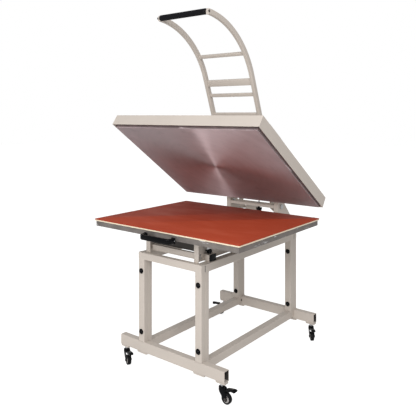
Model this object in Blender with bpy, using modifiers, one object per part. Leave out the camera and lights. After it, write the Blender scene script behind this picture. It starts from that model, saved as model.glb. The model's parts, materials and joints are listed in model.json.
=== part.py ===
"""Manual clamshell heat press with a 1000 x 800 mm bed, on a castered tube stand.

Metres, +Z up. The origin is on the floor, under the middle of the bounding box.
The rest pose is the open press, with the table pushed home.
"""

import math

import bmesh
import bpy
from mathutils import Matrix

# Clearances.
GAP = 0.0003  # between solids that touch on the real press
RUN = 0.0005  # radial, between a shaft and its bore
PRESS_GAP = 0.0005  # closed heating plate over the silicone sheet
CUT_PAST = 0.010  # how far a cutter runs past the face it opens
BAR_CORNER = 0.002  # rounding of the small bars and plates

# Bed and table.
BED_WIDTH = 1.000
BED_DEPTH = 0.800
SILICONE_THICKNESS = 0.004
FELT_THICKNESS = 0.007
TABLE_THICKNESS = 0.029
TABLE_INSET = 0.008
TABLE_CORNER = 0.006
PULL_WIDTH = 0.212
PULL_OVERHANG = 0.040  # in front of the bed's edge
PULL_BAR = 0.016
PULL_BEND = 0.012
PULL_ROUNDING = 0.003
PULL_HEIGHT = 0.031
PULL_DROP = 0.0135  # middle of the pull under the middle of the table plate

# Stand.
STAND_WIDTH = 0.440
STAND_HEIGHT = 0.642
BED_OVERHANG = 0.0755  # bed in front of the stand
TUBE_WALL = 0.0025
TUBE_CORNER = 0.003
POST_WIDTH = 0.042
END_POST_DEPTH = 0.030
FRONT_SIDE_POST_DEPTH = 0.031
REAR_SIDE_POST_DEPTH = 0.043
END_BAR_HEIGHT = 0.038
UPPER_RAIL_HEIGHT = 0.042
LOWER_RAIL_HEIGHT = 0.043
LOWER_RAIL_BOTTOM = 0.111
FOOT_LENGTH = 0.720
FOOT_DEPTH = 0.038
FOOT_HEIGHT = 0.0555
FOOT_BOTTOM = 0.103
FOOT_PAD_THICKNESS = 0.010
WELD_STEP = 0.0004  # a welded piece's faces stand in this far from its neighbour's
FOOT_PAD_LENGTH = 0.076
CASTER_PAD_LENGTH = 0.056

# Casters. Each one's wheel trails the swivel axis, at its own rest heading.
CASTER_SIDE = 0.333
WHEEL_RADIUS = 0.0266
WHEEL_WIDTH = 0.020
TYRE_THICKNESS = 0.008
HUB_BORE = 0.0045
CASTER_TRAIL = 0.028
CASTER_HEAD_RADIUS = 0.017
CASTER_STEM_RADIUS = 0.006
FORK_CHEEK = 0.003
FORK_CLEARANCE = 0.002  # cheek beside the tyre
FORK_HEAD_RISE = 0.006  # swivel head over the tyre
FORK_REACH = 0.010  # cheeks behind the axle
COLLAR_RADIUS = 0.009
COLLAR_HEIGHT = 0.013  # between the swivel head and the foot's pad
STEM_REACH = 0.014  # stem inside the foot beam
AXLE_PROUD = 0.002
STEM_LET_IN = 0.004  # stem inside the swivel head
TYRE_EDGE = 0.004
HUB_INSET = 0.002
PEDAL_REACH = 0.084
PEDAL_PIN_RISE = 0.008  # pedal pin over the head's lower face
PEDAL_CLEARANCE = 0.0025  # pedal over the tyre
CASTER_HEADINGS = {
    ("front", "right"): 0.0,
    ("front", "left"): -26.0,
    ("rear", "right"): -52.0,
    ("rear", "left"): 218.0,
}

# Base of the press, on the stand.
BASE_HEIGHT = 0.118
BASE_PLATE = 0.006
BASE_INNER = 0.163  # inner face of each side plate
BASE_SETBACK = 0.0245
BASE_TAB_DEPTH = 0.104
BASE_STRIP_HEIGHT = 0.062
LUG_LENGTH = 0.038
LUG_DEPTH = 0.054
LUG_HEIGHT = 0.034
LUG_SETBACK = 0.055
FRONT_BAR_HEIGHT = 0.0305
FRONT_BAR_DEPTH = 0.020
FRONT_BAR_RISE = 0.029
FRONT_BAR_SETBACK = 0.017
TIE_THICKNESS = 0.006
ROLLER_RADIUS = 0.013
ROLLER_WIDTH = 0.016
ROLLER_PIN_RADIUS = 0.004
ROLLER_OFFSET = 0.015  # roller's inner end from its side plate
ROLLER_LIFT = 0.002  # roller over the lugs
ROLLER_PIN_PROUD = 0.003  # pin past the roller's outer end
ROLLER_PIN_INSIDE = 0.002  # pin past the side plate's inner face
FRONT_ROLLER_SETBACK = 0.075
ROLLER_SPACING = 0.245
RUNNER_WIDTH = 0.012
STRAP_WIDTH = 0.070
STRAP_THICKNESS = 0.005
STRAP_SETBACK = 0.035
RUNNER_START = 0.048
RUNNER_REAR_GAP = 0.060  # strap's rear end ahead of the base's
RUNNER_SHORTER = 0.010  # runner's rear end ahead of its strap's
STRAP_LIP = 0.004  # strap outside its runner

# Rear brackets, main pivot and counterbalance.
PIVOT_BEHIND_BED = 0.090
PIVOT_ABOVE_BED = 0.020
PIVOT_TO_STAND_REAR = 0.148
BRACKET_INNER = 0.164
BRACKET_WIDTH = 0.030
BRACKET_FRONT = 0.035  # ahead of the pivot
BRACKET_REAR = 0.110  # behind the pivot
BRACKET_TOP = 0.030  # above the pivot
BRACKET_WALL = 0.004
BRACKET_CHAMFER = 0.006
BRACKET_SHOULDER = 0.040  # rear edge's top under the bed's
SHAFT_RADIUS = 0.010
SHAFT_HEAD_RADIUS = 0.016
SHAFT_HEAD = 0.008
HUB_RADIUS = 0.0152
CROSSBAR_SIZE = 0.018
CROSSBAR_CLEARANCE = 0.001  # ahead of the yoke's hub
ADJUSTER_X = 0.050
ADJUSTER_RADIUS = 0.004
ADJUSTER_KNOB_RADIUS = 0.021
ADJUSTER_KNOB_HEIGHT = 0.026
ADJUSTER_NECK = 0.0018  # knob under the yoke's hub
LOCKNUT_RADIUS = 0.0075
LOCKNUT_HEIGHT = 0.007
ANCHOR_SIZE = 0.020
ANCHOR_RISE = 0.013
SPRING_LEAD = 0.12  # share of the spring's length at each end before the coil
SPRING_SIDE = 0.145
SPRING_WIRE = 0.0036
SPRING_RADIUS = 0.0105
SPRING_TURNS = 11
TAIL_REACH = 0.068  # tail pin behind the pivot, level with it on the closed press
TAIL_PIN_RADIUS = 0.005
JUNCTION_SIZE = (0.088, 0.048, 0.118)
JUNCTION_X = -0.059
BOX_WALL = 0.003  # of the junction box and the control box
GLAND_RADIUS = 0.011
GLAND_LENGTH = 0.020

# Upper platen.
OPEN_ANGLE = math.radians(35.28)
PLATE_WIDTH = 0.991
PLATE_DEPTH = 0.788
PLATE_THICKNESS = 0.030
COVER_WIDTH = 1.024
COVER_FRONT = 0.0205  # cover in front of the heating plate
COVER_REAR = 0.012  # cover behind the heating plate
COVER_LIFT = 0.008
COVER_HEIGHT = 0.065
COVER_WALL = 0.002
INSULATION_INSET = 0.004
ELEMENT_RADIUS = 0.005
ELEMENT_RUNS = 6
ELEMENT_MARGIN = 0.050
INSULATION_THICKNESS = 0.024
ARM_SIDE = 0.117  # middle of each yoke arm
ARM_WIDTH = 0.030
ARM_HEIGHT = 0.040
ARM_FRONT = 0.730  # arm's reach ahead of the pivot
ARM_REAR = 0.026
CHEEK_THICKNESS = 0.010
YOKE_BAR_DEPTH = 0.040
YOKE_BAR_INSET = 0.004  # crossbars inside the arms' height
REAR_BAR_FRONT = 0.046  # rear bar, ahead of the pivot
REAR_BAR_REAR = 0.018
REAR_BAR_DROP = YOKE_BAR_DEPTH * 0.65  # rear bar under the arms
YOKE_HUB_PAST = 0.020  # hub past each cheek
TAIL_PIN_PAST = 0.010  # tail pin past its spring
PRESSURE_Y = -0.490  # pressure screw, from the pivot
PRESSURE_SCREW_RADIUS = 0.010
PRESSURE_KNOB_RADIUS = 0.040
PRESSURE_KNOB_HEIGHT = 0.018
PRESSURE_KNOB_RISE = 0.015  # knob over the yoke
LEVER_RADIUS = 0.190  # lever pin from the pivot
LEVER_PIN_RADIUS = 0.008
LUG_PLATE = 0.020
LUG_PLATE_HALF = 0.020  # lug ahead of and behind the lever pin
LUG_PLATE_ABOVE = 0.018  # lug over the lever pin
LUG_PLATE_LIFT = 0.006  # lug over the arm's lower face
LUG_PLATE_CORNER = 0.004

# Ladder lever.
LADDER_ANGLE = math.radians(34.72)  # above the platen's plane
LADDER_INNER = 0.160
RAIL_WIDTH = 0.020
RAIL_DEPTH = 0.030
RAIL_TAIL = 0.025
STRAIGHT_END = 0.655
GRIP_FORWARD = 0.4326
GRIP_DROP = 0.2822
GRIP_RADIUS = 0.0165
RUNG_DEPTH = 0.016
RUNG_CORNER = 0.0015
LEVER_PIN_PROUD = 0.003
RUNGS = ((0.070, 0.024), (0.418, 0.020), (0.542, 0.020), (0.620, 0.040), (0.794, 0.020))

# Control box, on the cover.
CONTROL_SIZE = (0.220, 0.140, 0.050)
CONTROL_X = 0.350
CONTROL_Y = -0.690
CONTROL_CORNER = 0.004
CONTROL_ROW = 0.22  # row of buttons, as a share of the box's depth from its middle
FIRST_BUTTON = 0.24  # first button, as a share of the box's width from its middle
SWITCH_PLACE = 0.34  # switch, on the other side
CABLE_HOLE = 0.030
CABLE_HOLE_PLACE = (0.060, 0.040)  # from the box's left and front faces
BUTTON_RADIUS = 0.008
BUTTON_HEIGHT = 0.009
BUTTON_PITCH = 0.032
BUTTON_SUNK = 0.0055
SWITCH_SIZE = (0.020, 0.028, 0.012)
SWITCH_SLACK = 0.0012
SWITCH_AXIS_DEPTH = 0.002
SWITCH_SUNK = 0.004  # rocker under its axis

# Worked-out places.
TOTAL_DEPTH = PULL_OVERHANG + BED_DEPTH + PIVOT_BEHIND_BED + PIVOT_TO_STAND_REAR
BED_FRONT = -TOTAL_DEPTH / 2 + PULL_OVERHANG
BED_Y = BED_FRONT + BED_DEPTH / 2
TABLE_BOTTOM = STAND_HEIGHT + BASE_HEIGHT
TABLE_TOP = TABLE_BOTTOM + TABLE_THICKNESS
FELT_TOP = TABLE_TOP + GAP + FELT_THICKNESS
BED_TOP = FELT_TOP + GAP + SILICONE_THICKNESS
PIVOT_Y = BED_FRONT + BED_DEPTH + PIVOT_BEHIND_BED
PIVOT_Z = BED_TOP + PIVOT_ABOVE_BED
STAND_FRONT = BED_FRONT + BED_OVERHANG
STAND_REAR = PIVOT_Y + PIVOT_TO_STAND_REAR
FOOT_TOP = FOOT_BOTTOM + FOOT_HEIGHT
POST_OUTER = STAND_WIDTH / 2
BASE_BOTTOM = STAND_HEIGHT + GAP
BASE_FRONT = STAND_FRONT + BASE_SETBACK
BASE_OUTER = BASE_INNER + BASE_PLATE
BASE_REAR = PIVOT_Y - BRACKET_FRONT - GAP
STRAP_BOTTOM = TABLE_BOTTOM - GAP - STRAP_THICKNESS
BASE_TOP = STRAP_BOTTOM - 4 * GAP
LUG_TOP = BASE_BOTTOM + LUG_HEIGHT
ROLLER_Z = LUG_TOP + ROLLER_LIFT + ROLLER_RADIUS
RUNNER_BOTTOM = ROLLER_Z + ROLLER_RADIUS + GAP
RUNNER_INNER = BASE_OUTER + ROLLER_OFFSET + (ROLLER_WIDTH - RUNNER_WIDTH) / 2
ANCHOR_Y = PIVOT_Y + TAIL_REACH * math.cos(OPEN_ANGLE)
ANCHOR_BOTTOM = STAND_HEIGHT + ANCHOR_RISE
ANCHOR_TOP = ANCHOR_BOTTOM + ANCHOR_SIZE
# From here, the closed press seen from the main pivot.
PLATE_BOTTOM = PRESS_GAP - PIVOT_ABOVE_BED
PLATE_REAR = -PIVOT_BEHIND_BED - (BED_DEPTH - PLATE_DEPTH) / 2
PLATE_TOP = PLATE_BOTTOM + PLATE_THICKNESS
COVER_BOTTOM = PLATE_BOTTOM + COVER_LIFT
COVER_TOP = COVER_BOTTOM + COVER_HEIGHT
ARM_BOTTOM = COVER_TOP + GAP
ARM_TOP = ARM_BOTTOM + ARM_HEIGHT
LEVER_Y = -LEVER_RADIUS * math.cos(LADDER_ANGLE)
LEVER_Z = LEVER_RADIUS * math.sin(LADDER_ANGLE)
CHEEK_INNER = ARM_SIDE - CHEEK_THICKNESS / 2

SIDES = (("left", -1), ("right", 1))
X_AXIS = Matrix.Rotation(math.radians(90), 4, "Y")
Y_AXIS = Matrix.Rotation(math.radians(-90), 4, "X")
TO_XZ = Matrix.Rotation(math.pi / 2, 4, "X")  # stands a flat outline up


def clear_scene():
    for old in list(bpy.data.objects):
        bpy.data.objects.remove(old, do_unlink=True)


def new_collection(name):
    collection = bpy.data.collections.new(name)
    bpy.context.scene.collection.children.link(collection)
    return collection


def paint(name, colour, roughness, metallic=0.0):
    """A Principled material."""
    made = bpy.data.materials.new(name)
    made.use_nodes = True
    shader = made.node_tree.nodes["Principled BSDF"]
    shader.inputs["Base Color"].default_value = (*colour, 1.0)
    shader.inputs["Roughness"].default_value = roughness
    shader.inputs["Metallic"].default_value = metallic
    return made


clear_scene()
PARTS = new_collection("heat_press")
CUTTERS = new_collection("construction")

BEIGE = paint("beige_powder_coat", (0.62, 0.56, 0.51), 0.45)
CAST = paint("cast_aluminium", (0.45, 0.45, 0.46), 0.45, 1.0)
BRIGHT = paint("bright_steel", (0.62, 0.62, 0.63), 0.30, 1.0)
DARK = paint("dark_steel", (0.05, 0.045, 0.04), 0.55, 0.6)
BLACK = paint("black_plastic", (0.012, 0.012, 0.014), 0.30)
TYRE = paint("caster_tyre", (0.015, 0.015, 0.016), 0.55)
GREY = paint("grey_plastic", (0.35, 0.35, 0.36), 0.50)
SILICONE = paint("red_silicone", (0.36, 0.06, 0.03), 0.60)
FELT = paint("cream_felt", (0.90, 0.80, 0.62), 0.95)
WOOL = paint("white_insulation", (0.80, 0.78, 0.72), 0.95)


def mesh_object(name, mesh, material, collection=PARTS, parent=None, matrix=None):
    """Puts a mesh in the scene as one object."""
    made = bpy.data.objects.new(name, mesh)
    collection.objects.link(made)
    if material is not None:
        mesh.materials.append(material)
    made.parent = parent
    if matrix is not None:
        made.matrix_local = matrix
    return made


def helper(obj):
    """Marks an object as construction, which is not part of the press."""
    obj.hide_render = True
    obj.display_type = "WIRE"
    for collection in list(obj.users_collection):
        collection.objects.unlink(obj)
    CUTTERS.objects.link(obj)
    return obj


def box_mesh(low, high, corner=0.0, along=None, segments=2):
    """A box between two corners. With corner, the edges along one axis are rounded, or all of them."""
    shape = bmesh.new()
    bmesh.ops.create_cube(shape, size=1.0)
    size = [b - a for a, b in zip(low, high)]
    middle = [(a + b) / 2 for a, b in zip(low, high)]
    bmesh.ops.scale(shape, vec=size, verts=shape.verts)
    bmesh.ops.translate(shape, vec=middle, verts=shape.verts)
    if corner:
        edges = list(shape.edges)
        if along is not None:
            axis = "XYZ".index(along)
            edges = [e for e in edges if abs(e.verts[0].co[axis] - e.verts[1].co[axis]) > size[axis] / 2]
        bmesh.ops.bevel(shape, geom=edges, offset=corner, segments=segments, profile=0.5, affect="EDGES")
    mesh = bpy.data.meshes.new("box")
    shape.to_mesh(mesh)
    shape.free()
    return mesh


def round_mesh(radius, length, turn=None, place=(0, 0, 0), top_radius=None, sides=24):
    """A cylinder or cone along Z, centred, then turned and placed."""
    shape = bmesh.new()
    top = radius if top_radius is None else top_radius
    bmesh.ops.create_cone(shape, cap_ends=True, segments=sides, radius1=radius, radius2=top, depth=length)
    matrix = Matrix.Translation(place) @ (turn if turn is not None else Matrix())
    bmesh.ops.transform(shape, matrix=matrix, verts=shape.verts)
    mesh = bpy.data.meshes.new("round")
    shape.to_mesh(mesh)
    shape.free()
    return mesh


def curve_mesh(curve):
    """A curve's evaluated mesh, with its caps welded on."""
    holder = bpy.data.objects.new("curve_holder", curve)
    CUTTERS.objects.link(holder)
    bpy.context.view_layer.update()
    graph = bpy.context.evaluated_depsgraph_get()
    mesh = bpy.data.meshes.new_from_object(holder.evaluated_get(graph))
    bpy.data.objects.remove(holder, do_unlink=True)
    shape = bmesh.new()
    shape.from_mesh(mesh)
    bmesh.ops.remove_doubles(shape, verts=shape.verts, dist=1e-5)
    bmesh.ops.recalc_face_normals(shape, faces=shape.faces)
    shape.to_mesh(mesh)
    shape.free()
    return mesh


def outline_mesh(points, thickness, plane="YZ", middle=0.0):
    """A flat outline extruded to a plate, in the YZ or the XY plane, with its middle at a given height."""
    curve = bpy.data.curves.new("outline", "CURVE")
    curve.dimensions = "2D"
    curve.fill_mode = "BOTH"
    curve.extrude = thickness / 2
    spline = curve.splines.new("POLY")
    spline.points.add(len(points) - 1)
    for point, (a, b) in zip(spline.points, points):
        point.co = (a, b, 0, 1)
    spline.use_cyclic_u = True
    mesh = curve_mesh(curve)
    # The outline's own axes go to Y and Z, and its thickness to X.
    turn = Matrix(((0, 0, 1, 0), (1, 0, 0, 0), (0, 1, 0, 0), (0, 0, 0, 1))) if plane == "YZ" else Matrix()
    shift = (middle, 0, 0) if plane == "YZ" else (0, 0, middle)
    mesh.transform(Matrix.Translation(shift) @ turn)
    return mesh


def wire_mesh(points, radius, resolution=2):
    """A round wire along a list of points."""
    curve = bpy.data.curves.new("wire", "CURVE")
    curve.dimensions = "3D"
    curve.bevel_depth = radius
    curve.bevel_resolution = resolution
    curve.use_fill_caps = True
    spline = curve.splines.new("POLY")
    spline.points.add(len(points) - 1)
    for point, place in zip(spline.points, points):
        point.co = (*place, 1)
    return curve_mesh(curve)


def weld(name, solids, material, voids=(), parent=None, matrix=None):
    """One object from overlapping solids, less the voids. All are meshes in the object's own frame."""
    made = mesh_object(name, solids[0], material, PARTS, parent, matrix)
    for kind, meshes in (("UNION", solids[1:]), ("DIFFERENCE", voids)):
        for count, mesh in enumerate(meshes):
            tool = mesh_object(f"{name}_{kind.lower()}_{count}", mesh, None, CUTTERS, parent, matrix)
            helper(tool)
            step = made.modifiers.new(f"{kind.lower()}_{count}", "BOOLEAN")
            step.operation = kind
            step.solver = "EXACT"
            step.object = tool
    return made


def smooth(obj, angle=35.0):
    """Smooth shading, with edges sharper than the angle kept."""
    obj.data.shade_smooth()
    obj.data.set_sharp_from_angle(angle=math.radians(angle))
    return obj


def axis_empty(name, place, parent=None, turn=0.0, spin=0.0):
    """An empty on a joint's axis, tilted about X and turned about Z."""
    made = bpy.data.objects.new(name, None)
    PARTS.objects.link(made)
    made.parent = parent
    made.location = place
    made.rotation_euler = (turn, 0.0, spin)
    return made


def hollow(low, high, axis, wall=TUBE_WALL, past=(0.0, 0.0)):
    """The space inside a rectangular tube, run past its two ends by the given lengths."""
    low, high = list(low), list(high)
    for i in range(3):
        if i == axis:
            low[i] -= past[0]
            high[i] += past[1]
        else:
            low[i] += wall
            high[i] -= wall
    return box_mesh(low, high)


# --- Stand ---------------------------------------------------------------


def foot_beam(end):
    """The rectangular tube across the floor at one end, with pads under it."""
    front = STAND_FRONT if end == "front" else STAND_REAR - FOOT_DEPTH
    half = FOOT_LENGTH / 2
    low, high = (-half, front, FOOT_BOTTOM), (half, front + FOOT_DEPTH, FOOT_TOP)
    solids = [box_mesh(low, high, TUBE_CORNER, "X")]
    voids = [hollow(low, high, 0, past=(CUT_PAST, CUT_PAST))]
    pad_low = FOOT_BOTTOM - FOOT_PAD_THICKNESS
    inset = TUBE_CORNER * 1.4
    for _, side in SIDES:
        for middle, length in (
            (POST_OUTER - POST_WIDTH / 2, FOOT_PAD_LENGTH),
            (half - CASTER_PAD_LENGTH / 2, CASTER_PAD_LENGTH),
        ):
            # A plate with sloped ends, let into the tube's lower wall.
            bottom, top = length / 2 - FOOT_PAD_THICKNESS / 2, length / 2
            if middle > POST_OUTER:
                top = bottom = length / 2 - GAP
            outline = [
                (side * middle - bottom, pad_low),
                (side * middle + bottom, pad_low),
                (side * middle + top, FOOT_BOTTOM + TUBE_WALL / 2),
                (side * middle - top, FOOT_BOTTOM + TUBE_WALL / 2),
            ]
            plate = outline_mesh(outline, FOOT_DEPTH - 2 * inset, "XY")
            plate.transform(Matrix.Translation((0, front + FOOT_DEPTH / 2, 0)) @ TO_XZ)
            solids.append(plate)
        bore = CASTER_STEM_RADIUS + RUN
        voids.append(round_mesh(bore, 0.06, place=(side * CASTER_SIDE, front + FOOT_DEPTH / 2, pad_low)))
    weld(f"{end}_foot_beam", solids, BEIGE, voids)


def upright_frame(end):
    """Two posts and the bar across their tops, welded, open at the bottom."""
    front = STAND_FRONT if end == "front" else STAND_REAR - END_POST_DEPTH
    rear = front + END_POST_DEPTH
    bar_bottom = STAND_HEIGHT - END_BAR_HEIGHT
    bar = (-POST_OUTER, front, bar_bottom), (POST_OUTER, rear, STAND_HEIGHT)
    solids = [box_mesh(*bar, TUBE_CORNER, "X")]
    voids = [hollow(*bar, 0, past=(-TUBE_WALL, -TUBE_WALL))]
    for _, side in SIDES:
        inner, outer = sorted((side * (POST_OUTER - POST_WIDTH), side * POST_OUTER))
        post = (inner, front, FOOT_TOP + GAP), (outer, rear, STAND_HEIGHT)
        solids.append(box_mesh(post[0], (outer, rear, STAND_HEIGHT - TUBE_WALL), TUBE_CORNER, "Z"))
        voids.append(hollow(*post, 2, past=(CUT_PAST, -TUBE_WALL * 2)))
    weld(f"{end}_upright_frame", solids, BEIGE, voids)


def side_frame(name, side):
    """The frame between the two ends: a post at each end and two rails, with open rail ends."""
    inner, outer = sorted((side * (POST_OUTER - POST_WIDTH), side * POST_OUTER))
    front = STAND_FRONT + END_POST_DEPTH + GAP
    rear = STAND_REAR - END_POST_DEPTH - GAP
    foot_front, foot_rear = STAND_FRONT + FOOT_DEPTH + GAP, STAND_REAR - FOOT_DEPTH - GAP
    upper = (inner, front, STAND_HEIGHT - UPPER_RAIL_HEIGHT), (outer, rear, STAND_HEIGHT)
    rail_top = LOWER_RAIL_BOTTOM + LOWER_RAIL_HEIGHT
    lower = (inner, foot_front, LOWER_RAIL_BOTTOM), (outer, foot_rear, rail_top)
    solids = [box_mesh(*upper, TUBE_CORNER, "Y"), box_mesh(*lower, TUBE_CORNER, "Y")]
    voids = [
        hollow(*upper, 1, past=(-TUBE_WALL, -TUBE_WALL)),
        hollow(*lower, 1, past=(CUT_PAST, CUT_PAST)),
    ]
    for post_front, post_rear, stub_front, stub_rear in (
        (front, front + FRONT_SIDE_POST_DEPTH, foot_front, front + FRONT_SIDE_POST_DEPTH),
        (rear - REAR_SIDE_POST_DEPTH, rear, rear - REAR_SIDE_POST_DEPTH, foot_rear),
    ):
        post = (inner, post_front, FOOT_TOP + GAP), (outer, post_rear, STAND_HEIGHT - TUBE_WALL)
        solids.append(box_mesh(*post, TUBE_CORNER, "Z"))
        voids.append(hollow(*post, 2, past=(-TUBE_WALL, -TUBE_WALL)))
        # The post runs on down behind the foot, to the lower rail.
        stub_low = (inner + WELD_STEP, stub_front + WELD_STEP, rail_top - 3 * TUBE_WALL)
        stub_high = (outer - WELD_STEP, stub_rear - WELD_STEP, FOOT_TOP + CUT_PAST)
        solids.append(box_mesh(stub_low, stub_high))
        voids.append(hollow(stub_low, stub_high, 2, past=(-TUBE_WALL, CUT_PAST)))
    weld(f"{name}_side_frame", solids, BEIGE, voids)


def caster(end, name, side):
    """A swivel fork on its stem, a wheel and a brake pedal. Local +X is the way the wheel trails."""
    middle_y = STAND_FRONT + FOOT_DEPTH / 2 if end == "front" else STAND_REAR - FOOT_DEPTH / 2
    prefix = f"{end}_{name}_caster"
    spin = math.radians(CASTER_HEADINGS[end, name])
    swivel = axis_empty(f"{prefix}_swivel", (side * CASTER_SIDE, middle_y, 0.0), spin=spin)
    pad_bottom = FOOT_BOTTOM - FOOT_PAD_THICKNESS
    head_top = pad_bottom - COLLAR_HEIGHT
    head_bottom = 2 * WHEEL_RADIUS + FORK_HEAD_RISE
    head_height = head_top - head_bottom
    cheek = WHEEL_WIDTH / 2 + FORK_CLEARANCE + FORK_CHEEK / 2
    reach = CASTER_TRAIL + FORK_REACH
    outline = [
        (-CASTER_HEAD_RADIUS * 0.6, head_bottom),
        (-CASTER_HEAD_RADIUS * 0.6, head_top - 0.004),
        (CASTER_HEAD_RADIUS * 0.9, head_top - 0.004),
        (reach, WHEEL_RADIUS + 0.006),
        (reach, WHEEL_RADIUS - 0.006),
        (reach - 0.006, WHEEL_RADIUS - 0.011),
        (CASTER_TRAIL - 0.008, WHEEL_RADIUS - 0.008),
    ]
    solids = [round_mesh(CASTER_HEAD_RADIUS, head_height, place=(0, 0, head_bottom + head_height / 2))]
    for flank in (-1, 1):
        plate = outline_mesh(outline, FORK_CHEEK, "XY")
        plate.transform(Matrix.Translation((0, flank * cheek, 0)) @ TO_XZ)
        solids.append(plate)
    stem_top = FOOT_BOTTOM + STEM_REACH
    collar = COLLAR_HEIGHT + 0.001
    solids.append(round_mesh(COLLAR_RADIUS, collar, place=(0, 0, pad_bottom - GAP - collar / 2), sides=16))
    stem = stem_top - head_top + STEM_LET_IN
    solids.append(round_mesh(CASTER_STEM_RADIUS, stem, place=(0, 0, stem_top - stem / 2), sides=16))
    axle = 2 * (cheek + FORK_CHEEK / 2 + AXLE_PROUD)
    solids.append(round_mesh(HUB_BORE - RUN, axle, Y_AXIS, (CASTER_TRAIL, 0, WHEEL_RADIUS), sides=16))
    smooth(weld(f"{prefix}_fork", solids, BLACK, parent=swivel))

    hub_radius = WHEEL_RADIUS - TYRE_THICKNESS
    wheel = axis_empty(f"{prefix}_axle", (CASTER_TRAIL, 0, WHEEL_RADIUS), swivel)
    rim = round_mesh(hub_radius, WHEEL_WIDTH - 2 * HUB_INSET, Y_AXIS)
    bore = round_mesh(HUB_BORE, WHEEL_WIDTH * 2, Y_AXIS, sides=16)
    smooth(weld(f"{prefix}_hub", [rim], GREY, [bore], wheel))
    half, edge = WHEEL_WIDTH / 2, TYRE_EDGE
    profile = [
        (WHEEL_RADIUS - edge, half),
        (WHEEL_RADIUS, half - edge),
        (WHEEL_RADIUS, edge - half),
        (WHEEL_RADIUS - edge, -half),
        (hub_radius + GAP, -half),
        (hub_radius + GAP, half),
    ]
    tyre = turned(f"{prefix}_tyre", profile, TYRE, wheel)
    tyre.rotation_euler = (math.radians(-90), 0, 0)

    # The pedal's pin is between the cheeks, over the wheel.
    pin_x, pin_z = CASTER_TRAIL * 0.45 + CASTER_HEAD_RADIUS, head_bottom + PEDAL_PIN_RISE
    pedal = axis_empty(f"{prefix}_brake", (pin_x, 0, pin_z), swivel)
    pedal_low = 2 * WHEEL_RADIUS + PEDAL_CLEARANCE - pin_z
    tip = PEDAL_REACH - pin_x
    outline = [(-0.001, pedal_low + 0.002), (tip - 0.018, 0.006), (tip, 0.008)]
    outline += [(tip, 0.014), (tip - 0.012, 0.015), (0.0, 0.008)]
    plate = outline_mesh(outline, WHEEL_WIDTH + 2 * (FORK_CLEARANCE - RUN), "XY")
    plate.transform(TO_XZ)
    mesh_object(f"{prefix}_pedal", plate, BLACK, parent=pedal)


def turned(name, profile, material, parent=None, steps=24):
    """A ring turned about Z from a closed profile of radius and height, down its outer side first."""
    mesh = bpy.data.meshes.new(name)
    count = len(profile)
    edges = [(i, (i + 1) % count) for i in range(count)]
    mesh.from_pydata([(r, 0.0, z) for r, z in profile], edges, [])
    made = mesh_object(name, mesh, material, parent=parent)
    screw = made.modifiers.new("turn", "SCREW")
    screw.steps = screw.render_steps = steps
    screw.use_merge_vertices = True
    screw.merge_threshold = 1e-5
    screw.use_smooth_shade = True
    return made


# --- Base on the stand ---------------------------------------------------


def base_plate(name, side):
    """The upright side plate, with the lugs that stand on the rail and a hole for each roller pin."""
    strip_top = BASE_BOTTOM + BASE_STRIP_HEIGHT
    tab = BASE_TAB_DEPTH
    outline = [
        (BASE_FRONT, BASE_BOTTOM),
        (BASE_REAR, BASE_BOTTOM),
        (BASE_REAR, BASE_TOP),
        (BASE_REAR - tab, BASE_TOP),
        (BASE_REAR - tab, strip_top),
        (BASE_FRONT + tab, strip_top),
        (BASE_FRONT + tab, BASE_TOP),
        (BASE_FRONT, BASE_TOP),
    ]
    middle = side * (BASE_INNER + BASE_PLATE / 2)
    solids = [outline_mesh(outline, BASE_PLATE, "YZ", middle)]
    voids = []
    for lug_front in (BASE_FRONT + LUG_SETBACK, BASE_REAR - LUG_SETBACK - LUG_DEPTH):
        near, far = sorted((side * (BASE_OUTER - BASE_PLATE / 2), side * (BASE_OUTER + LUG_LENGTH)))
        lug = (near, lug_front, BASE_BOTTOM), (far, lug_front + LUG_DEPTH, LUG_TOP)
        solids.append(box_mesh(*lug, TUBE_CORNER, "X"))
        open_end = (CUT_PAST, -BASE_PLATE) if side < 0 else (-BASE_PLATE, CUT_PAST)
        voids.append(hollow(*lug, 0, past=open_end))
    for place in roller_places():
        pin = (middle, place, ROLLER_Z)
        voids.append(round_mesh(ROLLER_PIN_RADIUS + RUN, BASE_PLATE * 3, X_AXIS, pin, sides=16))
    weld(f"{name}_base_plate", solids, BEIGE, voids)


def roller_places():
    first = BASE_FRONT + FRONT_ROLLER_SETBACK
    return first, first + ROLLER_SPACING


def base_cross_members():
    """The bar and the tie plate between the side plates, at the front."""
    half = BASE_INNER - GAP
    front = BASE_FRONT + FRONT_BAR_SETBACK
    bottom = BASE_BOTTOM + FRONT_BAR_RISE
    bar = (-half, front, bottom), (half, front + FRONT_BAR_DEPTH, bottom + FRONT_BAR_HEIGHT)
    bore = hollow(*bar, 0, past=(CUT_PAST, CUT_PAST))
    weld("front_crossbar", [box_mesh(*bar, BAR_CORNER, "X")], BEIGE, [bore])
    tie_front = front + FRONT_BAR_DEPTH + GAP
    low = (-half, tie_front, bottom + FRONT_BAR_HEIGHT / 2)
    high = (half, tie_front + TIE_THICKNESS, BASE_TOP)
    mesh_object("front_tie_plate", box_mesh(low, high), DARK)


def slide_roller(name, side, end, place):
    """A nylon roller and its pin, which turns in the side plate."""
    inner = BASE_OUTER + ROLLER_OFFSET
    centre = axis_empty(f"{end}_{name}_roller_axis", (side * (inner + ROLLER_WIDTH / 2), place, ROLLER_Z))
    pin = inner + ROLLER_WIDTH + ROLLER_PIN_PROUD - BASE_INNER + ROLLER_PIN_INSIDE
    pin_middle = side * (ROLLER_WIDTH / 2 + ROLLER_PIN_PROUD - pin / 2)
    solids = [
        round_mesh(ROLLER_RADIUS, ROLLER_WIDTH, X_AXIS),
        round_mesh(ROLLER_PIN_RADIUS, pin, X_AXIS, (pin_middle, 0, 0), sides=16),
    ]
    smooth(weld(f"{end}_{name}_slide_roller", solids, BLACK, parent=centre))


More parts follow.
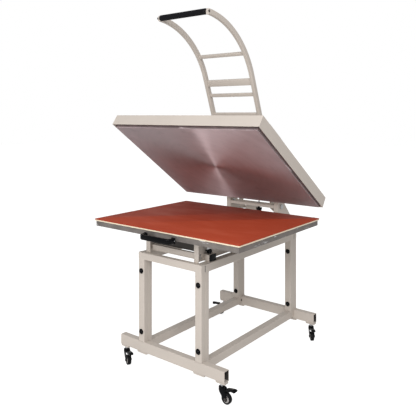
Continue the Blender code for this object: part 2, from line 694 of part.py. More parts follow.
def pivot_bracket(name, side):
    """The tall bracket that carries the main shaft, a box section open at the bottom."""
    front, rear = PIVOT_Y - BRACKET_FRONT, PIVOT_Y + BRACKET_REAR
    top = PIVOT_Z + BRACKET_TOP
    outline = [
        (front, STAND_HEIGHT + GAP),
        (rear, STAND_HEIGHT + GAP),
        (rear, BED_TOP - BRACKET_SHOULDER),
        (PIVOT_Y + BRACKET_FRONT, top - BRACKET_CHAMFER),
        (PIVOT_Y + BRACKET_FRONT - 0.010, top),
        (front + BRACKET_CHAMFER, top),
        (front, top - BRACKET_CHAMFER),
    ]
    middle = side * (BRACKET_INNER + BRACKET_WIDTH / 2)
    low = (middle - BRACKET_WIDTH / 2, front, STAND_HEIGHT)
    high = (middle + BRACKET_WIDTH / 2, rear, BED_TOP - BRACKET_SHOULDER - CUT_PAST)
    voids = [
        hollow(low, high, 2, wall=BRACKET_WALL, past=(CUT_PAST, 0.0)),
        round_mesh(SHAFT_RADIUS + RUN, BRACKET_WIDTH * 2, X_AXIS, (middle, PIVOT_Y, PIVOT_Z)),
    ]
    weld(f"{name}_pivot_bracket", [outline_mesh(outline, BRACKET_WIDTH, "YZ", middle)], BEIGE, voids)


def main_shaft():
    """The shaft between the brackets, with a hexagon head at each end."""
    reach = BRACKET_INNER + BRACKET_WIDTH + GAP
    solids = [round_mesh(SHAFT_RADIUS, 2 * reach + SHAFT_HEAD / 2, X_AXIS)]
    for _, side in SIDES:
        place = (side * (reach + SHAFT_HEAD / 2), 0, 0)
        solids.append(round_mesh(SHAFT_HEAD_RADIUS, SHAFT_HEAD, X_AXIS, place, sides=6))
    weld("main_shaft", solids, BRIGHT, parent=axis_empty("main_shaft_axis", (0, PIVOT_Y, PIVOT_Z)))


def height_adjuster():
    """The crossbar between the brackets, and the screw and knob in it."""
    half = BRACKET_INNER - GAP
    bar_rear = PIVOT_Y - HUB_RADIUS - CROSSBAR_CLEARANCE
    bar_y = bar_rear - CROSSBAR_SIZE / 2
    low = (-half, bar_rear - CROSSBAR_SIZE, PIVOT_Z - CROSSBAR_SIZE / 2)
    bar = box_mesh(low, (half, bar_rear, PIVOT_Z + CROSSBAR_SIZE / 2), BAR_CORNER, "X")
    place = (ADJUSTER_X, bar_y, PIVOT_Z)
    bore = round_mesh(ADJUSTER_RADIUS + RUN, CROSSBAR_SIZE * 2, place=place, sides=16)
    weld("rear_crossbar", [bar], BEIGE, [bore])

    axis = axis_empty("height_adjuster_axis", place)
    knob_top = -CROSSBAR_SIZE / 2 - GAP
    # The screw ends just under the closed yoke's rear bar.
    screw_top = ARM_BOTTOM - REAR_BAR_DROP - PRESS_GAP
    neck = HUB_RADIUS + ADJUSTER_NECK + knob_top
    knob_place = (0, 0, knob_top - neck - ADJUSTER_KNOB_HEIGHT / 2)
    narrow = ADJUSTER_KNOB_RADIUS * 0.6
    screw = screw_top - knob_top + CUT_PAST
    nut = (0, 0, CROSSBAR_SIZE / 2 + GAP + LOCKNUT_HEIGHT / 2)
    solids = [
        round_mesh(narrow, ADJUSTER_KNOB_HEIGHT, place=knob_place, top_radius=ADJUSTER_KNOB_RADIUS),
        round_mesh(ADJUSTER_RADIUS * 2, neck + 0.002, place=(0, 0, knob_top - neck / 2 - 0.001), sides=16),
        round_mesh(ADJUSTER_RADIUS, screw, place=(0, 0, screw_top - screw / 2), sides=16),
        round_mesh(LOCKNUT_RADIUS, LOCKNUT_HEIGHT, place=nut, sides=6),
    ]
    smooth(weld("height_adjuster", solids, BLACK, parent=axis))


def spring_anchor():
    """The tube between the brackets that the springs pull on."""
    half = BRACKET_INNER - GAP
    low = (-half, ANCHOR_Y - ANCHOR_SIZE / 2, ANCHOR_BOTTOM)
    high = (half, ANCHOR_Y + ANCHOR_SIZE / 2, ANCHOR_TOP)
    bore = hollow(low, high, 0, past=(CUT_PAST, CUT_PAST))
    weld("spring_anchor_bar", [box_mesh(low, high, BAR_CORNER, "X")], BEIGE, [bore])


def junction_box():
    """The box on the anchor bar and the gland where the mains lead would enter."""
    width, depth, height = JUNCTION_SIZE
    low = (JUNCTION_X - width / 2, ANCHOR_Y - ANCHOR_SIZE / 2, ANCHOR_TOP + GAP)
    high = (JUNCTION_X + width / 2, low[1] + depth, low[2] + height)
    inlet = (JUNCTION_X, high[1] + GAP + GLAND_LENGTH / 2, low[2] + height * 0.3)
    hole = round_mesh(GLAND_RADIUS * 0.5, 2 * CUT_PAST, Y_AXIS, (inlet[0], high[1], inlet[2]))
    inside = box_mesh([v + BOX_WALL for v in low], [v - BOX_WALL for v in high])
    weld("junction_box", [box_mesh(low, high, BOX_WALL)], BEIGE, [inside, hole])
    collar = round_mesh(GLAND_RADIUS, GLAND_LENGTH * 0.4, Y_AXIS, (0, -GLAND_LENGTH * 0.3, 0), sides=6)
    cone = round_mesh(GLAND_RADIUS * 0.62, GLAND_LENGTH * 0.7, Y_AXIS, (0, GLAND_LENGTH * 0.15, 0))
    bore = round_mesh(GLAND_RADIUS * 0.36, GLAND_LENGTH * 2, Y_AXIS, sides=16)
    smooth(weld("inlet_gland", [collar, cone], BLACK, [bore], matrix=Matrix.Translation(inlet)))


def counter_spring(name, side):
    """An extension coil from the anchor bar up to the yoke's tail pin."""
    bottom = ANCHOR_TOP + GAP + SPRING_WIRE / 2
    pin_z = PIVOT_Z - TAIL_REACH * math.sin(OPEN_ANGLE)
    top = pin_z - TAIL_PIN_RADIUS - GAP - SPRING_WIRE / 2
    straight = (top - bottom) * SPRING_LEAD
    coil_low, coil_high = bottom + straight, top - straight
    per_turn = 10
    points = [(0, 0, bottom)]
    for step in range(SPRING_TURNS * per_turn + 1):
        angle = 2 * math.pi * step / per_turn
        rise = (coil_high - coil_low) * step / (SPRING_TURNS * per_turn)
        points.append((SPRING_RADIUS * math.cos(angle), SPRING_RADIUS * math.sin(angle), coil_low + rise))
    points.append((0, 0, top))
    mesh = wire_mesh(points, SPRING_WIRE / 2, resolution=1)
    place = Matrix.Translation((side * SPRING_SIDE, ANCHOR_Y, 0))
    smooth(mesh_object(f"{name}_counter_spring", mesh, BRIGHT, matrix=place), 60)


# --- Pull-out table ------------------------------------------------------


def table():
    """Table plate, felt, silicone sheet, pull and the two runners."""
    slide = axis_empty("table_slide_axis", (0, BED_Y, TABLE_BOTTOM))
    half_x, half_y = BED_WIDTH / 2, BED_DEPTH / 2
    inset = TABLE_INSET
    low, high = (inset - half_x, inset - half_y, 0), (half_x - inset, half_y - inset, TABLE_THICKNESS)
    mesh_object("table_plate", box_mesh(low, high, BAR_CORNER), CAST, parent=slide)
    felt_low = TABLE_THICKNESS + GAP
    felt_high = felt_low + FELT_THICKNESS
    felt = box_mesh((-half_x, -half_y, felt_low), (half_x, half_y, felt_high), TABLE_CORNER, "Z")
    mesh_object("felt_pad", felt, FELT, parent=slide)
    sheet_high = felt_high + GAP + SILICONE_THICKNESS
    sheet = box_mesh((-half_x, -half_y, felt_high + GAP), (half_x, half_y, sheet_high), TABLE_CORNER, "Z")
    mesh_object("silicone_sheet", sheet, SILICONE, parent=slide)

    pull_handle(slide, inset - half_y - GAP)
    for name, side in SIDES:
        slide_runner(name, side, slide)


def pull_handle(slide, back):
    """The bracket-shaped pull on the table's front edge."""
    front = -BED_DEPTH / 2 - PULL_OVERHANG
    middle = TABLE_THICKNESS / 2 - PULL_DROP
    wide, bar, cut = PULL_WIDTH / 2, PULL_BAR, PULL_BEND
    outline = [
        (-wide, back),
        (-wide, front + cut),
        (-wide + cut, front),
        (wide - cut, front),
        (wide, front + cut),
        (wide, back),
        (wide - bar, back),
        (wide - bar, front + bar + cut * 0.7),
        (wide - bar - cut * 0.7, front + bar),
        (-wide + bar + cut * 0.7, front + bar),
        (-wide + bar, front + bar + cut * 0.7),
        (-wide + bar, back),
    ]
    mesh = outline_mesh(outline, PULL_HEIGHT, "XY", middle)
    pull = mesh_object("pull_handle", mesh, BLACK, parent=slide)
    rounding = pull.modifiers.new("rounding", "BEVEL")
    rounding.width = PULL_ROUNDING
    rounding.segments = 2
    rounding.limit_method = "ANGLE"
    rounding.angle_limit = math.radians(40)


def slide_runner(name, side, slide):
    """The strap under the table and the runner that rests on the rollers."""
    bar_low, bar_high = sorted((side * RUNNER_INNER, side * (RUNNER_INNER + RUNNER_WIDTH)))
    strap_outer = RUNNER_INNER + RUNNER_WIDTH + STRAP_LIP
    strap_low, strap_high = sorted((side * (strap_outer - STRAP_WIDTH), side * strap_outer))
    strap_front = BED_FRONT - BED_Y + STRAP_SETBACK
    bar_front = BASE_FRONT - BED_Y + RUNNER_START
    rear = BASE_REAR - BED_Y - RUNNER_REAR_GAP
    bar_rear, bar_top = rear - RUNNER_SHORTER, -GAP - STRAP_THICKNESS / 2
    strap = (strap_low, strap_front, -GAP - STRAP_THICKNESS), (strap_high, rear, -GAP)
    rail = (bar_low, bar_front, RUNNER_BOTTOM - TABLE_BOTTOM), (bar_high, bar_rear, bar_top)
    weld(f"{name}_slide_runner", [box_mesh(*strap), box_mesh(*rail)], BRIGHT, parent=slide)


# --- Platen --------------------------------------------------------------


def element_path(run_z):
    """The heating element's points: level runs from rear to front, joined in turn at either end."""
    half = PLATE_WIDTH / 2 - ELEMENT_MARGIN
    pitch = (PLATE_DEPTH - 2 * ELEMENT_MARGIN) / (ELEMENT_RUNS - 1)
    bend = pitch / 4
    points = []
    for run in range(ELEMENT_RUNS):
        y = PLATE_REAR - ELEMENT_MARGIN - run * pitch
        start = half if run % 2 == 0 else -half
        inward = math.copysign(bend, -start)
        if run:
            points.append((start, y + bend, run_z))
        points += [(start + inward, y, run_z), (-start - inward, y, run_z)]
        if run < ELEMENT_RUNS - 1:
            points.append((-start, y - bend, run_z))
    return points


def heating_stack(pivot):
    """Heating plate, its element, the insulation and the cover over them."""
    half = PLATE_WIDTH / 2
    low = (-half, PLATE_REAR - PLATE_DEPTH, PLATE_BOTTOM)
    high = (half, PLATE_REAR, PLATE_TOP)
    mesh_object("heating_plate", box_mesh(low, high, BAR_CORNER), CAST, parent=pivot)

    run_z = PLATE_TOP + GAP + ELEMENT_RADIUS
    element = wire_mesh(element_path(run_z), ELEMENT_RADIUS)
    smooth(mesh_object("heating_element", element, BRIGHT, parent=pivot))

    wool_low = run_z + ELEMENT_RADIUS + GAP
    cover_half = COVER_WIDTH / 2
    inner = cover_half - COVER_WALL - INSULATION_INSET
    low = (-inner, PLATE_REAR - PLATE_DEPTH, wool_low)
    high = (inner, PLATE_REAR, wool_low + INSULATION_THICKNESS)
    mesh_object("insulation_blanket", box_mesh(low, high), WOOL, parent=pivot)

    front, rear = PLATE_REAR - PLATE_DEPTH - COVER_FRONT, PLATE_REAR + COVER_REAR
    outer = (-cover_half, front, COVER_BOTTOM), (cover_half, rear, COVER_TOP)
    wall = COVER_WALL
    inside = box_mesh(
        (wall - cover_half, front + wall, COVER_BOTTOM - CUT_PAST),
        (cover_half - wall, rear - wall, COVER_TOP - wall),
    )
    weld("platen_cover", [box_mesh(*outer, 0.7 * wall)], BEIGE, [inside], pivot)


def yoke(pivot):
    """The welded frame that carries the platen on the main shaft, with its tails and lever lugs."""
    reach = CHEEK_INNER + CHEEK_THICKNESS + YOKE_HUB_PAST
    solids = [round_mesh(HUB_RADIUS, 2 * reach, X_AXIS)]
    for _, side in SIDES:
        near, far = sorted((side * (ARM_SIDE - ARM_WIDTH / 2), side * (ARM_SIDE + ARM_WIDTH / 2)))
        solids.append(box_mesh((near, -ARM_FRONT, ARM_BOTTOM), (far, ARM_REAR, ARM_TOP), TUBE_CORNER, "Y"))
        cheek = [
            (-0.028, ARM_BOTTOM + 0.005),
            (-0.009, HUB_RADIUS - 0.004),
            (-0.009, 0.004 - HUB_RADIUS),
            (0.0, 0.002 - HUB_RADIUS),
            (TAIL_REACH, -0.010),
            (TAIL_REACH + 0.008, -0.004),
            (TAIL_REACH + 0.008, 0.006),
            (TAIL_REACH - 0.004, 0.012),
            (0.024, 0.022),
            (ARM_REAR - 0.002, ARM_BOTTOM + 0.005),
        ]
        solids.append(outline_mesh(cheek, CHEEK_THICKNESS, "YZ", side * ARM_SIDE))
        pin_end = SPRING_SIDE + TAIL_PIN_PAST
        pin = pin_end - ARM_SIDE
        place = (side * (pin_end - pin / 2), TAIL_REACH, 0.0)
        solids.append(round_mesh(TAIL_PIN_RADIUS, pin, X_AXIS, place, sides=16))
        lug_inner = ARM_SIDE + ARM_WIDTH / 2
        near, far = sorted((side * (lug_inner - BAR_CORNER), side * (lug_inner + LUG_PLATE)))
        low = (near, LEVER_Y - LUG_PLATE_HALF, ARM_BOTTOM + LUG_PLATE_LIFT)
        high = (far, LEVER_Y + LUG_PLATE_HALF, LEVER_Z + LUG_PLATE_ABOVE)
        solids.append(box_mesh(low, high, LUG_PLATE_CORNER, "X"))
    bar_bottom, bar_top = ARM_BOTTOM + YOKE_BAR_INSET, ARM_TOP - YOKE_BAR_INSET
    for middle in (-ARM_FRONT + YOKE_BAR_DEPTH / 2, PRESSURE_Y):
        low = (-ARM_SIDE, middle - YOKE_BAR_DEPTH / 2, bar_bottom)
        high = (ARM_SIDE, middle + YOKE_BAR_DEPTH / 2, bar_top)
        solids.append(box_mesh(low, high, BAR_CORNER, "X"))
    # The rear bar hangs between the cheeks, and lands on the height adjuster.
    low = (-ARM_SIDE, -REAR_BAR_FRONT, ARM_BOTTOM - REAR_BAR_DROP)
    high = (ARM_SIDE, -REAR_BAR_REAR, ARM_BOTTOM + 2 * YOKE_BAR_INSET)
    solids.append(box_mesh(low, high, BAR_CORNER, "X"))
    bores = [
        round_mesh(SHAFT_RADIUS + RUN, 3 * reach, X_AXIS),
        round_mesh(LEVER_PIN_RADIUS + RUN, 3 * reach, X_AXIS, (0, LEVER_Y, LEVER_Z)),
        round_mesh(PRESSURE_SCREW_RADIUS + RUN, 0.2, place=(0, PRESSURE_Y, ARM_TOP)),
    ]
    weld("yoke", solids, BEIGE, bores, pivot)


def pressure_knob(pivot):
    """The pressure screw through the yoke's middle bar, with its hand knob."""
    axis = axis_empty("pressure_knob_axis", (0, PRESSURE_Y, ARM_TOP), pivot)
    low, high = GAP - ARM_HEIGHT, 2 * PRESSURE_KNOB_RISE
    middle = PRESSURE_KNOB_RISE + PRESSURE_KNOB_HEIGHT / 2
    narrow = PRESSURE_KNOB_RADIUS * 0.92
    solids = [
        round_mesh(PRESSURE_SCREW_RADIUS, high - low, place=(0, 0, (high + low) / 2), sides=16),
        round_mesh(PRESSURE_KNOB_RADIUS, PRESSURE_KNOB_HEIGHT, place=(0, 0, middle), top_radius=narrow),
    ]
    smooth(weld("pressure_knob", solids, BLACK, parent=axis))


def ladder(pivot):
    """The curved ladder lever on its pin. In its own frame it runs along -Y, then bends down."""
    lever = axis_empty("lever_axis", (0, LEVER_Y, LEVER_Z), pivot, turn=-LADDER_ANGLE)
    outer = LADDER_INNER + RAIL_WIDTH
    turn = 2 * math.atan2(GRIP_DROP, GRIP_FORWARD)
    radius = GRIP_FORWARD / math.sin(turn)
    steps = 14

    def arc(offset):
        """The rail's edge at an offset from its middle line, from the straight part to the grip."""
        size = radius + offset
        angles = [turn * i / steps for i in range(steps + 1)]
        return [(-STRAIGHT_END - size * math.sin(a), size * math.cos(a) - radius) for a in angles]

    top, bottom = arc(RAIL_DEPTH / 2), arc(-RAIL_DEPTH / 2)
    outline = [(RAIL_TAIL, RAIL_DEPTH / 2), *top, *reversed(bottom), (RAIL_TAIL, -RAIL_DEPTH / 2)]
    solids = []
    for _, side in SIDES:
        solids.append(outline_mesh(outline, RAIL_WIDTH, "YZ", side * (LADDER_INNER + RAIL_WIDTH / 2)))
    half = LADDER_INNER + RAIL_WIDTH / 2
    for along, height in RUNGS:
        bend = math.asin(max(0.0, (along - STRAIGHT_END) / radius))
        place = Matrix.Translation((0, -along, radius * math.cos(bend) - radius))
        low, high = (-half, -height / 2, -RUNG_DEPTH / 2), (half, height / 2, RUNG_DEPTH / 2)
        rung = box_mesh(low, high, RUNG_CORNER, "X")
        rung.transform(place @ Matrix.Rotation(bend, 4, "X"))
        solids.append(rung)
    bore = round_mesh(LEVER_PIN_RADIUS + RUN, 3 * outer, X_AXIS)
    weld("ladder_lever", solids, BEIGE, [bore], lever)

    grip_y, grip_z = -STRAIGHT_END - GRIP_FORWARD, -GRIP_DROP
    length = 2 * (LADDER_INNER - GAP)
    grip = round_mesh(GRIP_RADIUS, length, X_AXIS, (0, grip_y, grip_z))
    smooth(mesh_object("ladder_grip", grip, BLACK, parent=lever))

    pin = round_mesh(LEVER_PIN_RADIUS, 2 * (outer + LEVER_PIN_PROUD), X_AXIS)
    place = Matrix.Translation((0, LEVER_Y, LEVER_Z))
    smooth(mesh_object("lever_pin", pin, BRIGHT, parent=pivot, matrix=place))


def controls(pivot):
    """The control box on the cover, its three buttons and its power switch."""
    width, depth, height = CONTROL_SIZE
    bottom = COVER_TOP + GAP
    low = (CONTROL_X - width / 2, CONTROL_Y - depth / 2, bottom)
    high = (CONTROL_X + width / 2, CONTROL_Y + depth / 2, bottom + height)
    inside = box_mesh([v + BOX_WALL for v in low], [v - BOX_WALL for v in high])
    row_y = CONTROL_Y - depth * CONTROL_ROW
    first = CONTROL_X - width * FIRST_BUTTON
    hole_low = (low[0] + CABLE_HOLE_PLACE[0], low[1] + CABLE_HOLE_PLACE[1], low[2] - CUT_PAST)
    hole_high = (hole_low[0] + CABLE_HOLE, hole_low[1] + CABLE_HOLE, low[2] + CUT_PAST)
    voids = [inside, box_mesh(hole_low, hole_high)]
    for count in range(3):
        place = (first + count * BUTTON_PITCH, row_y, high[2])
        voids.append(round_mesh(BUTTON_RADIUS + 2 * RUN, 0.03, place=place))
    switch_x = CONTROL_X + width * SWITCH_PLACE
    size_x, size_y, size_z = SWITCH_SIZE
    slot_x, slot_y = size_x / 2 + SWITCH_SLACK, size_y / 2 + SWITCH_SLACK
    slot_low = (switch_x - slot_x, row_y - slot_y, high[2] - CUT_PAST)
    slot_high = (switch_x + slot_x, row_y + slot_y, high[2] + CUT_PAST)
    voids.append(box_mesh(slot_low, slot_high))
    weld("control_box", [box_mesh(low, high, CONTROL_CORNER)], BEIGE, voids, pivot)
    for count, name in enumerate(("set", "raise", "lower")):
        place = (first + count * BUTTON_PITCH, row_y, high[2])
        button = round_mesh(BUTTON_RADIUS, BUTTON_HEIGHT, place=(0, 0, BUTTON_HEIGHT / 2 - BUTTON_SUNK))
        axis = axis_empty(f"{name}_button_axis", place, pivot)
        smooth(mesh_object(f"{name}_button", button, GREY, parent=axis))
    axis = axis_empty("power_switch_axis", (switch_x, row_y, high[2] - SWITCH_AXIS_DEPTH), pivot)
    top = size_z - SWITCH_SUNK - SWITCH_AXIS_DEPTH
    rocker = box_mesh((-size_x / 2, -size_y / 2, -SWITCH_SUNK), (size_x / 2, size_y / 2, top), BAR_CORNER / 2)
    mesh_object("power_switch", rocker, BLACK, parent=axis)


def build():
    for end in ("front", "rear"):
        foot_beam(end)
        upright_frame(end)
        for name, side in SIDES:
            caster(end, name, side)
    for name, side in SIDES:
        side_frame(name, side)
        base_plate(name, side)
        pivot_bracket(name, side)
        counter_spring(name, side)
        for end, place in zip(("front", "rear"), roller_places()):
            slide_roller(name, side, end, place)
    base_cross_members()
    main_shaft()
    height_adjuster()
    spring_anchor()
    junction_box()
    table()
    pivot = axis_empty("platen_pivot", (0, PIVOT_Y, PIVOT_Z), turn=-OPEN_ANGLE)
    heating_stack(pivot)
    yoke(pivot)
    pressure_knob(pivot)
    ladder(pivot)
    controls(pivot)


build()
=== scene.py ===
"""Looks of a manual clamshell heat press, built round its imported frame.

Metres, +Z up, with the origin on the floor under the middle of the press.
At rest the press stands open, with its table pushed home.
"""
import json
import logging
import math
from dataclasses import dataclass, field
from enum import Enum
from typing import Callable, Iterable, Sequence

import bmesh
import bpy
from mathutils import Matrix, Vector


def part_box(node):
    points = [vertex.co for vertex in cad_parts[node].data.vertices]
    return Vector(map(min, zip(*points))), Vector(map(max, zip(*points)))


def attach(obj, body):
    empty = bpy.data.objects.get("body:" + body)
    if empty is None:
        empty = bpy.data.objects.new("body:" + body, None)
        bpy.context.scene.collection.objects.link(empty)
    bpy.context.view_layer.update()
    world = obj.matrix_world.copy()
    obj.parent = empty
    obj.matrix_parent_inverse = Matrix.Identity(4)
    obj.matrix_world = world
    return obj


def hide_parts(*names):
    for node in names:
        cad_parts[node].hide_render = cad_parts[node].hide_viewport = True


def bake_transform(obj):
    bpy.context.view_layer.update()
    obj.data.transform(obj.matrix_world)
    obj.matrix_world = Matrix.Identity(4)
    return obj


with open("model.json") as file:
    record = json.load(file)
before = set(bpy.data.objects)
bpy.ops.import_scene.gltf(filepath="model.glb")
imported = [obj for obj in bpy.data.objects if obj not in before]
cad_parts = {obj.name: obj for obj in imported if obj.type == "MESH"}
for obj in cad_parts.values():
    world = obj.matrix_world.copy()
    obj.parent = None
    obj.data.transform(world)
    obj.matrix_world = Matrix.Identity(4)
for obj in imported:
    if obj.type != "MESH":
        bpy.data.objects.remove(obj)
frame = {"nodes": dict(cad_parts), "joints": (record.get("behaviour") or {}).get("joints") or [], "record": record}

LOG = logging.getLogger("heat_press")
Point = tuple[float, float, float]
Pair = tuple[float, float]
Colour = tuple[float, float, float]
Path = Sequence[Sequence[float]]
Spot = tuple[Sequence[float], Sequence[float]]
SIDES: tuple[tuple[str, int], ...] = (("left", -1), ("right", 1))
ENDS: tuple[str, ...] = ("front", "rear")
SHARP_EDGE = math.radians(38.0)
Material = bpy.types.Material
Mesh = bpy.types.Mesh
Node = bpy.types.Node
Socket = bpy.types.NodeSocket
Tree = bpy.types.NodeTree


def joint_of(name: str) -> dict:
    """The frame's joint of that name."""
    return next(joint for joint in frame["joints"] if joint["name"] == name)


def anchor_of(name: str) -> Vector:
    """Where a joint's axis stands."""
    return Vector(joint_of(name)["pos_m"])


class Slot(Enum):
    """The material slots of the record."""

    COAT = "beige_coat"
    CAST = "cast_aluminium"
    STEEL = "bright_steel"
    DARK = "dark_steel"
    BLACK = "black_plastic"
    TYRE = "caster_tyre"
    GREY = "grey_plastic"
    SILICONE = "red_silicone"
    FELT = "cream_felt"
    WOOL = "white_insulation"


class Axis(Enum):
    """The way a turned or extruded shape points."""

    X = "X"
    Y = "Y"

    def matrix(self) -> Matrix:
        """The turn that takes a shape's own Z to this axis."""
        if self is Axis.X:
            return Matrix.Rotation(math.radians(90), 4, "Y")
        return Matrix.Rotation(math.radians(-90), 4, "X")


# --- Finishes ------------------------------------------------------------


class Wiring:
    """Adds nodes to a tree and links them."""

    def __init__(self, tree: Tree) -> None:
        """Takes the tree to work on."""
        self.tree = tree

    def add(self, kind: str, **settings: object) -> Node:
        """Adds one node.

        Args:
            kind: The node's type name.
            settings: Attributes set on the node.

        Returns:
            The new node.
        """
        node = self.tree.nodes.new(kind)
        for name, value in settings.items():
            setattr(node, name, value)
        return node

    def join(self, source: Socket, target: Socket) -> None:
        """Links an output to an input."""
        self.tree.links.new(source, target)

    def put(self, value: object, socket: Socket) -> None:
        """Links a socket to an input, or sets the input to a value."""
        if isinstance(value, Socket):
            self.join(value, socket)
        else:
            socket.default_value = value

    def feed(self, node: Node, **values: object) -> Node:
        """Sets or links a node's inputs by name.

        Args:
            node: The node whose inputs are set.
            values: Input names, with _ for a space, and what goes in: a socket or a value.

        Returns:
            The same node.
        """
        for name, value in values.items():
            self.put(value, node.inputs[name.replace("_", " ")])
        return node

    def math(self, operation: str, first: object, second: object = 0.0, third: object = 0.0) -> Socket:
        """A Math node's result, from sockets or numbers."""
        node = self.add("ShaderNodeMath", operation=operation)
        for socket, value in zip(node.inputs, (first, second, third)):
            self.put(value, socket)
        return node.outputs[0]

    def noise(self, vector: object, scale: object, detail: float = 3.0, roughness: float = 0.55) -> Socket:
        """A noise value over a vector."""
        node = self.add("ShaderNodeTexNoise")
        self.feed(node, Vector=vector, Scale=scale, Detail=detail, Roughness=roughness)
        return node.outputs[0]

    def span(self, value: object, low: float, high: float, start: float = 0.0, end: float = 1.0) -> Socket:
        """A value mapped from one range to another, and held inside it."""
        node = self.add("ShaderNodeMapRange")
        for name, number in zip(("From Min", "From Max", "To Min", "To Max"), (low, high, start, end)):
            node.inputs[name].default_value = number
        self.join(value, node.inputs["Value"])
        return node.outputs[0]

    def blend(self, factor: object, first: object, second: object) -> Socket:
        """A mix of two colours, each a socket or three numbers."""
        node = self.add("ShaderNodeMix", data_type="RGBA")
        colours = [s for s in node.inputs if s.type == "RGBA"]
        for socket, value in ((node.inputs[0], factor), (colours[0], first), (colours[1], second)):
            self.put((*value, 1.0) if isinstance(value, tuple) else value, socket)
        return next(s for s in node.outputs if s.type == "RGBA")


class Effect(Enum):
    """Surface effects that several finishes share."""

    MOTTLE = "soft_mottle"
    GRAIN = "fine_grain"
    SCRATCH = "long_scratches"
    DUST = "settled_dust"


class EffectGroups:
    """Builds each shared effect once, as a shader node group."""

    INPUTS: dict[Effect, tuple[tuple[str, float], ...]] = {
        Effect.MOTTLE: (("Scale", 6.0), ("Contrast", 1.0)),
        Effect.GRAIN: (("Scale", 900.0), ("Depth", 1.0)),
        Effect.SCRATCH: (("Scale", 30.0), ("Stretch", 12.0), ("Amount", 0.2)),
        Effect.DUST: (("Scale", 40.0), ("Amount", 0.2)),
    }

    def __init__(self) -> None:
        """Starts with no group built."""
        self.built: dict[Effect, Tree] = {}

    def get(self, effect: Effect) -> Tree:
        """The group for an effect, built the first time it is asked for.

        Args:
            effect: The effect wanted.

        Returns:
            Its node group, with a Vector input, named numbers and one Value output.
        """
        if effect in self.built:
            return self.built[effect]
        tree = bpy.data.node_groups.new(effect.value, "ShaderNodeTree")
        tree.interface.new_socket("Vector", in_out="INPUT", socket_type="NodeSocketVector")
        for name, value in self.INPUTS[effect]:
            socket = tree.interface.new_socket(name, in_out="INPUT", socket_type="NodeSocketFloat")
            socket.default_value = value
        tree.interface.new_socket("Value", in_out="OUTPUT", socket_type="NodeSocketFloat")
        wiring = Wiring(tree)
        source = wiring.add("NodeGroupInput")
        sink = wiring.add("NodeGroupOutput")
        made = {
            Effect.MOTTLE: self.mottle,
            Effect.GRAIN: self.grain,
            Effect.SCRATCH: self.scratch,
            Effect.DUST: self.dust,
        }[effect](wiring, source)
        wiring.join(made, sink.inputs[0])
        self.built[effect] = tree
        return tree

    @staticmethod
    def mottle(wiring: Wiring, source: Node) -> Socket:
        """Slow patches round one half, spread by the contrast."""
        broad = wiring.noise(source.outputs["Vector"], source.outputs["Scale"], 4.0, 0.6)
        centred = wiring.math("SUBTRACT", broad, 0.5)
        return wiring.math("MULTIPLY_ADD", centred, source.outputs["Contrast"], 0.5)

    @staticmethod
    def grain(wiring: Wiring, source: Node) -> Socket:
        """Fine pimples and pores at two sizes."""
        fine = wiring.noise(source.outputs["Vector"], source.outputs["Scale"], 2.0)
        cells = wiring.add("ShaderNodeTexVoronoi", feature="SMOOTH_F1")
        wiring.join(source.outputs["Vector"], cells.inputs["Vector"])
        wiring.join(wiring.math("MULTIPLY", source.outputs["Scale"], 0.45), cells.inputs["Scale"])
        both = wiring.math("MULTIPLY_ADD", cells.outputs["Distance"], 0.5, fine)
        return wiring.math("MULTIPLY", both, source.outputs["Depth"])

    @staticmethod
    def scratch(wiring: Wiring, source: Node) -> Socket:
        """Broken streaks along X and Y, thin in Z."""
        parts = wiring.add("ShaderNodeSeparateXYZ")
        wiring.join(source.outputs["Vector"], parts.inputs[0])
        tall = wiring.math("MULTIPLY", parts.outputs["Z"], source.outputs["Stretch"])
        packed = wiring.add("ShaderNodeCombineXYZ")
        wiring.feed(packed, X=parts.outputs["X"], Y=parts.outputs["Y"], Z=tall)
        lines = wiring.noise(packed.outputs[0], source.outputs["Scale"], 5.0, 0.62)
        floor = wiring.math("SUBTRACT", 0.72, wiring.math("MULTIPLY", source.outputs["Amount"], 0.3))
        above = wiring.math("SUBTRACT", lines, floor)
        return wiring.math(
            "MINIMUM", wiring.math("MAXIMUM", wiring.math("MULTIPLY", above, 14.0), 0.0), 1.0,
        )

    @staticmethod
    def dust(wiring: Wiring, source: Node) -> Socket:
        """A haze in broken patches on faces that look up."""
        facing = wiring.add("ShaderNodeTexCoord")
        parts = wiring.add("ShaderNodeSeparateXYZ")
        wiring.join(facing.outputs["Normal"], parts.inputs[0])
        patches = wiring.noise(source.outputs["Vector"], source.outputs["Scale"], 5.0, 0.65)
        lit = wiring.math("MULTIPLY", wiring.math("MAXIMUM", parts.outputs["Z"], 0.0), patches)
        return wiring.math("MULTIPLY", lit, source.outputs["Amount"])


EFFECTS = EffectGroups()


@dataclass(frozen=True)
class Paint:
    """A material that is ready to use, with its slot in the record."""

    material: Material
    slot: Slot


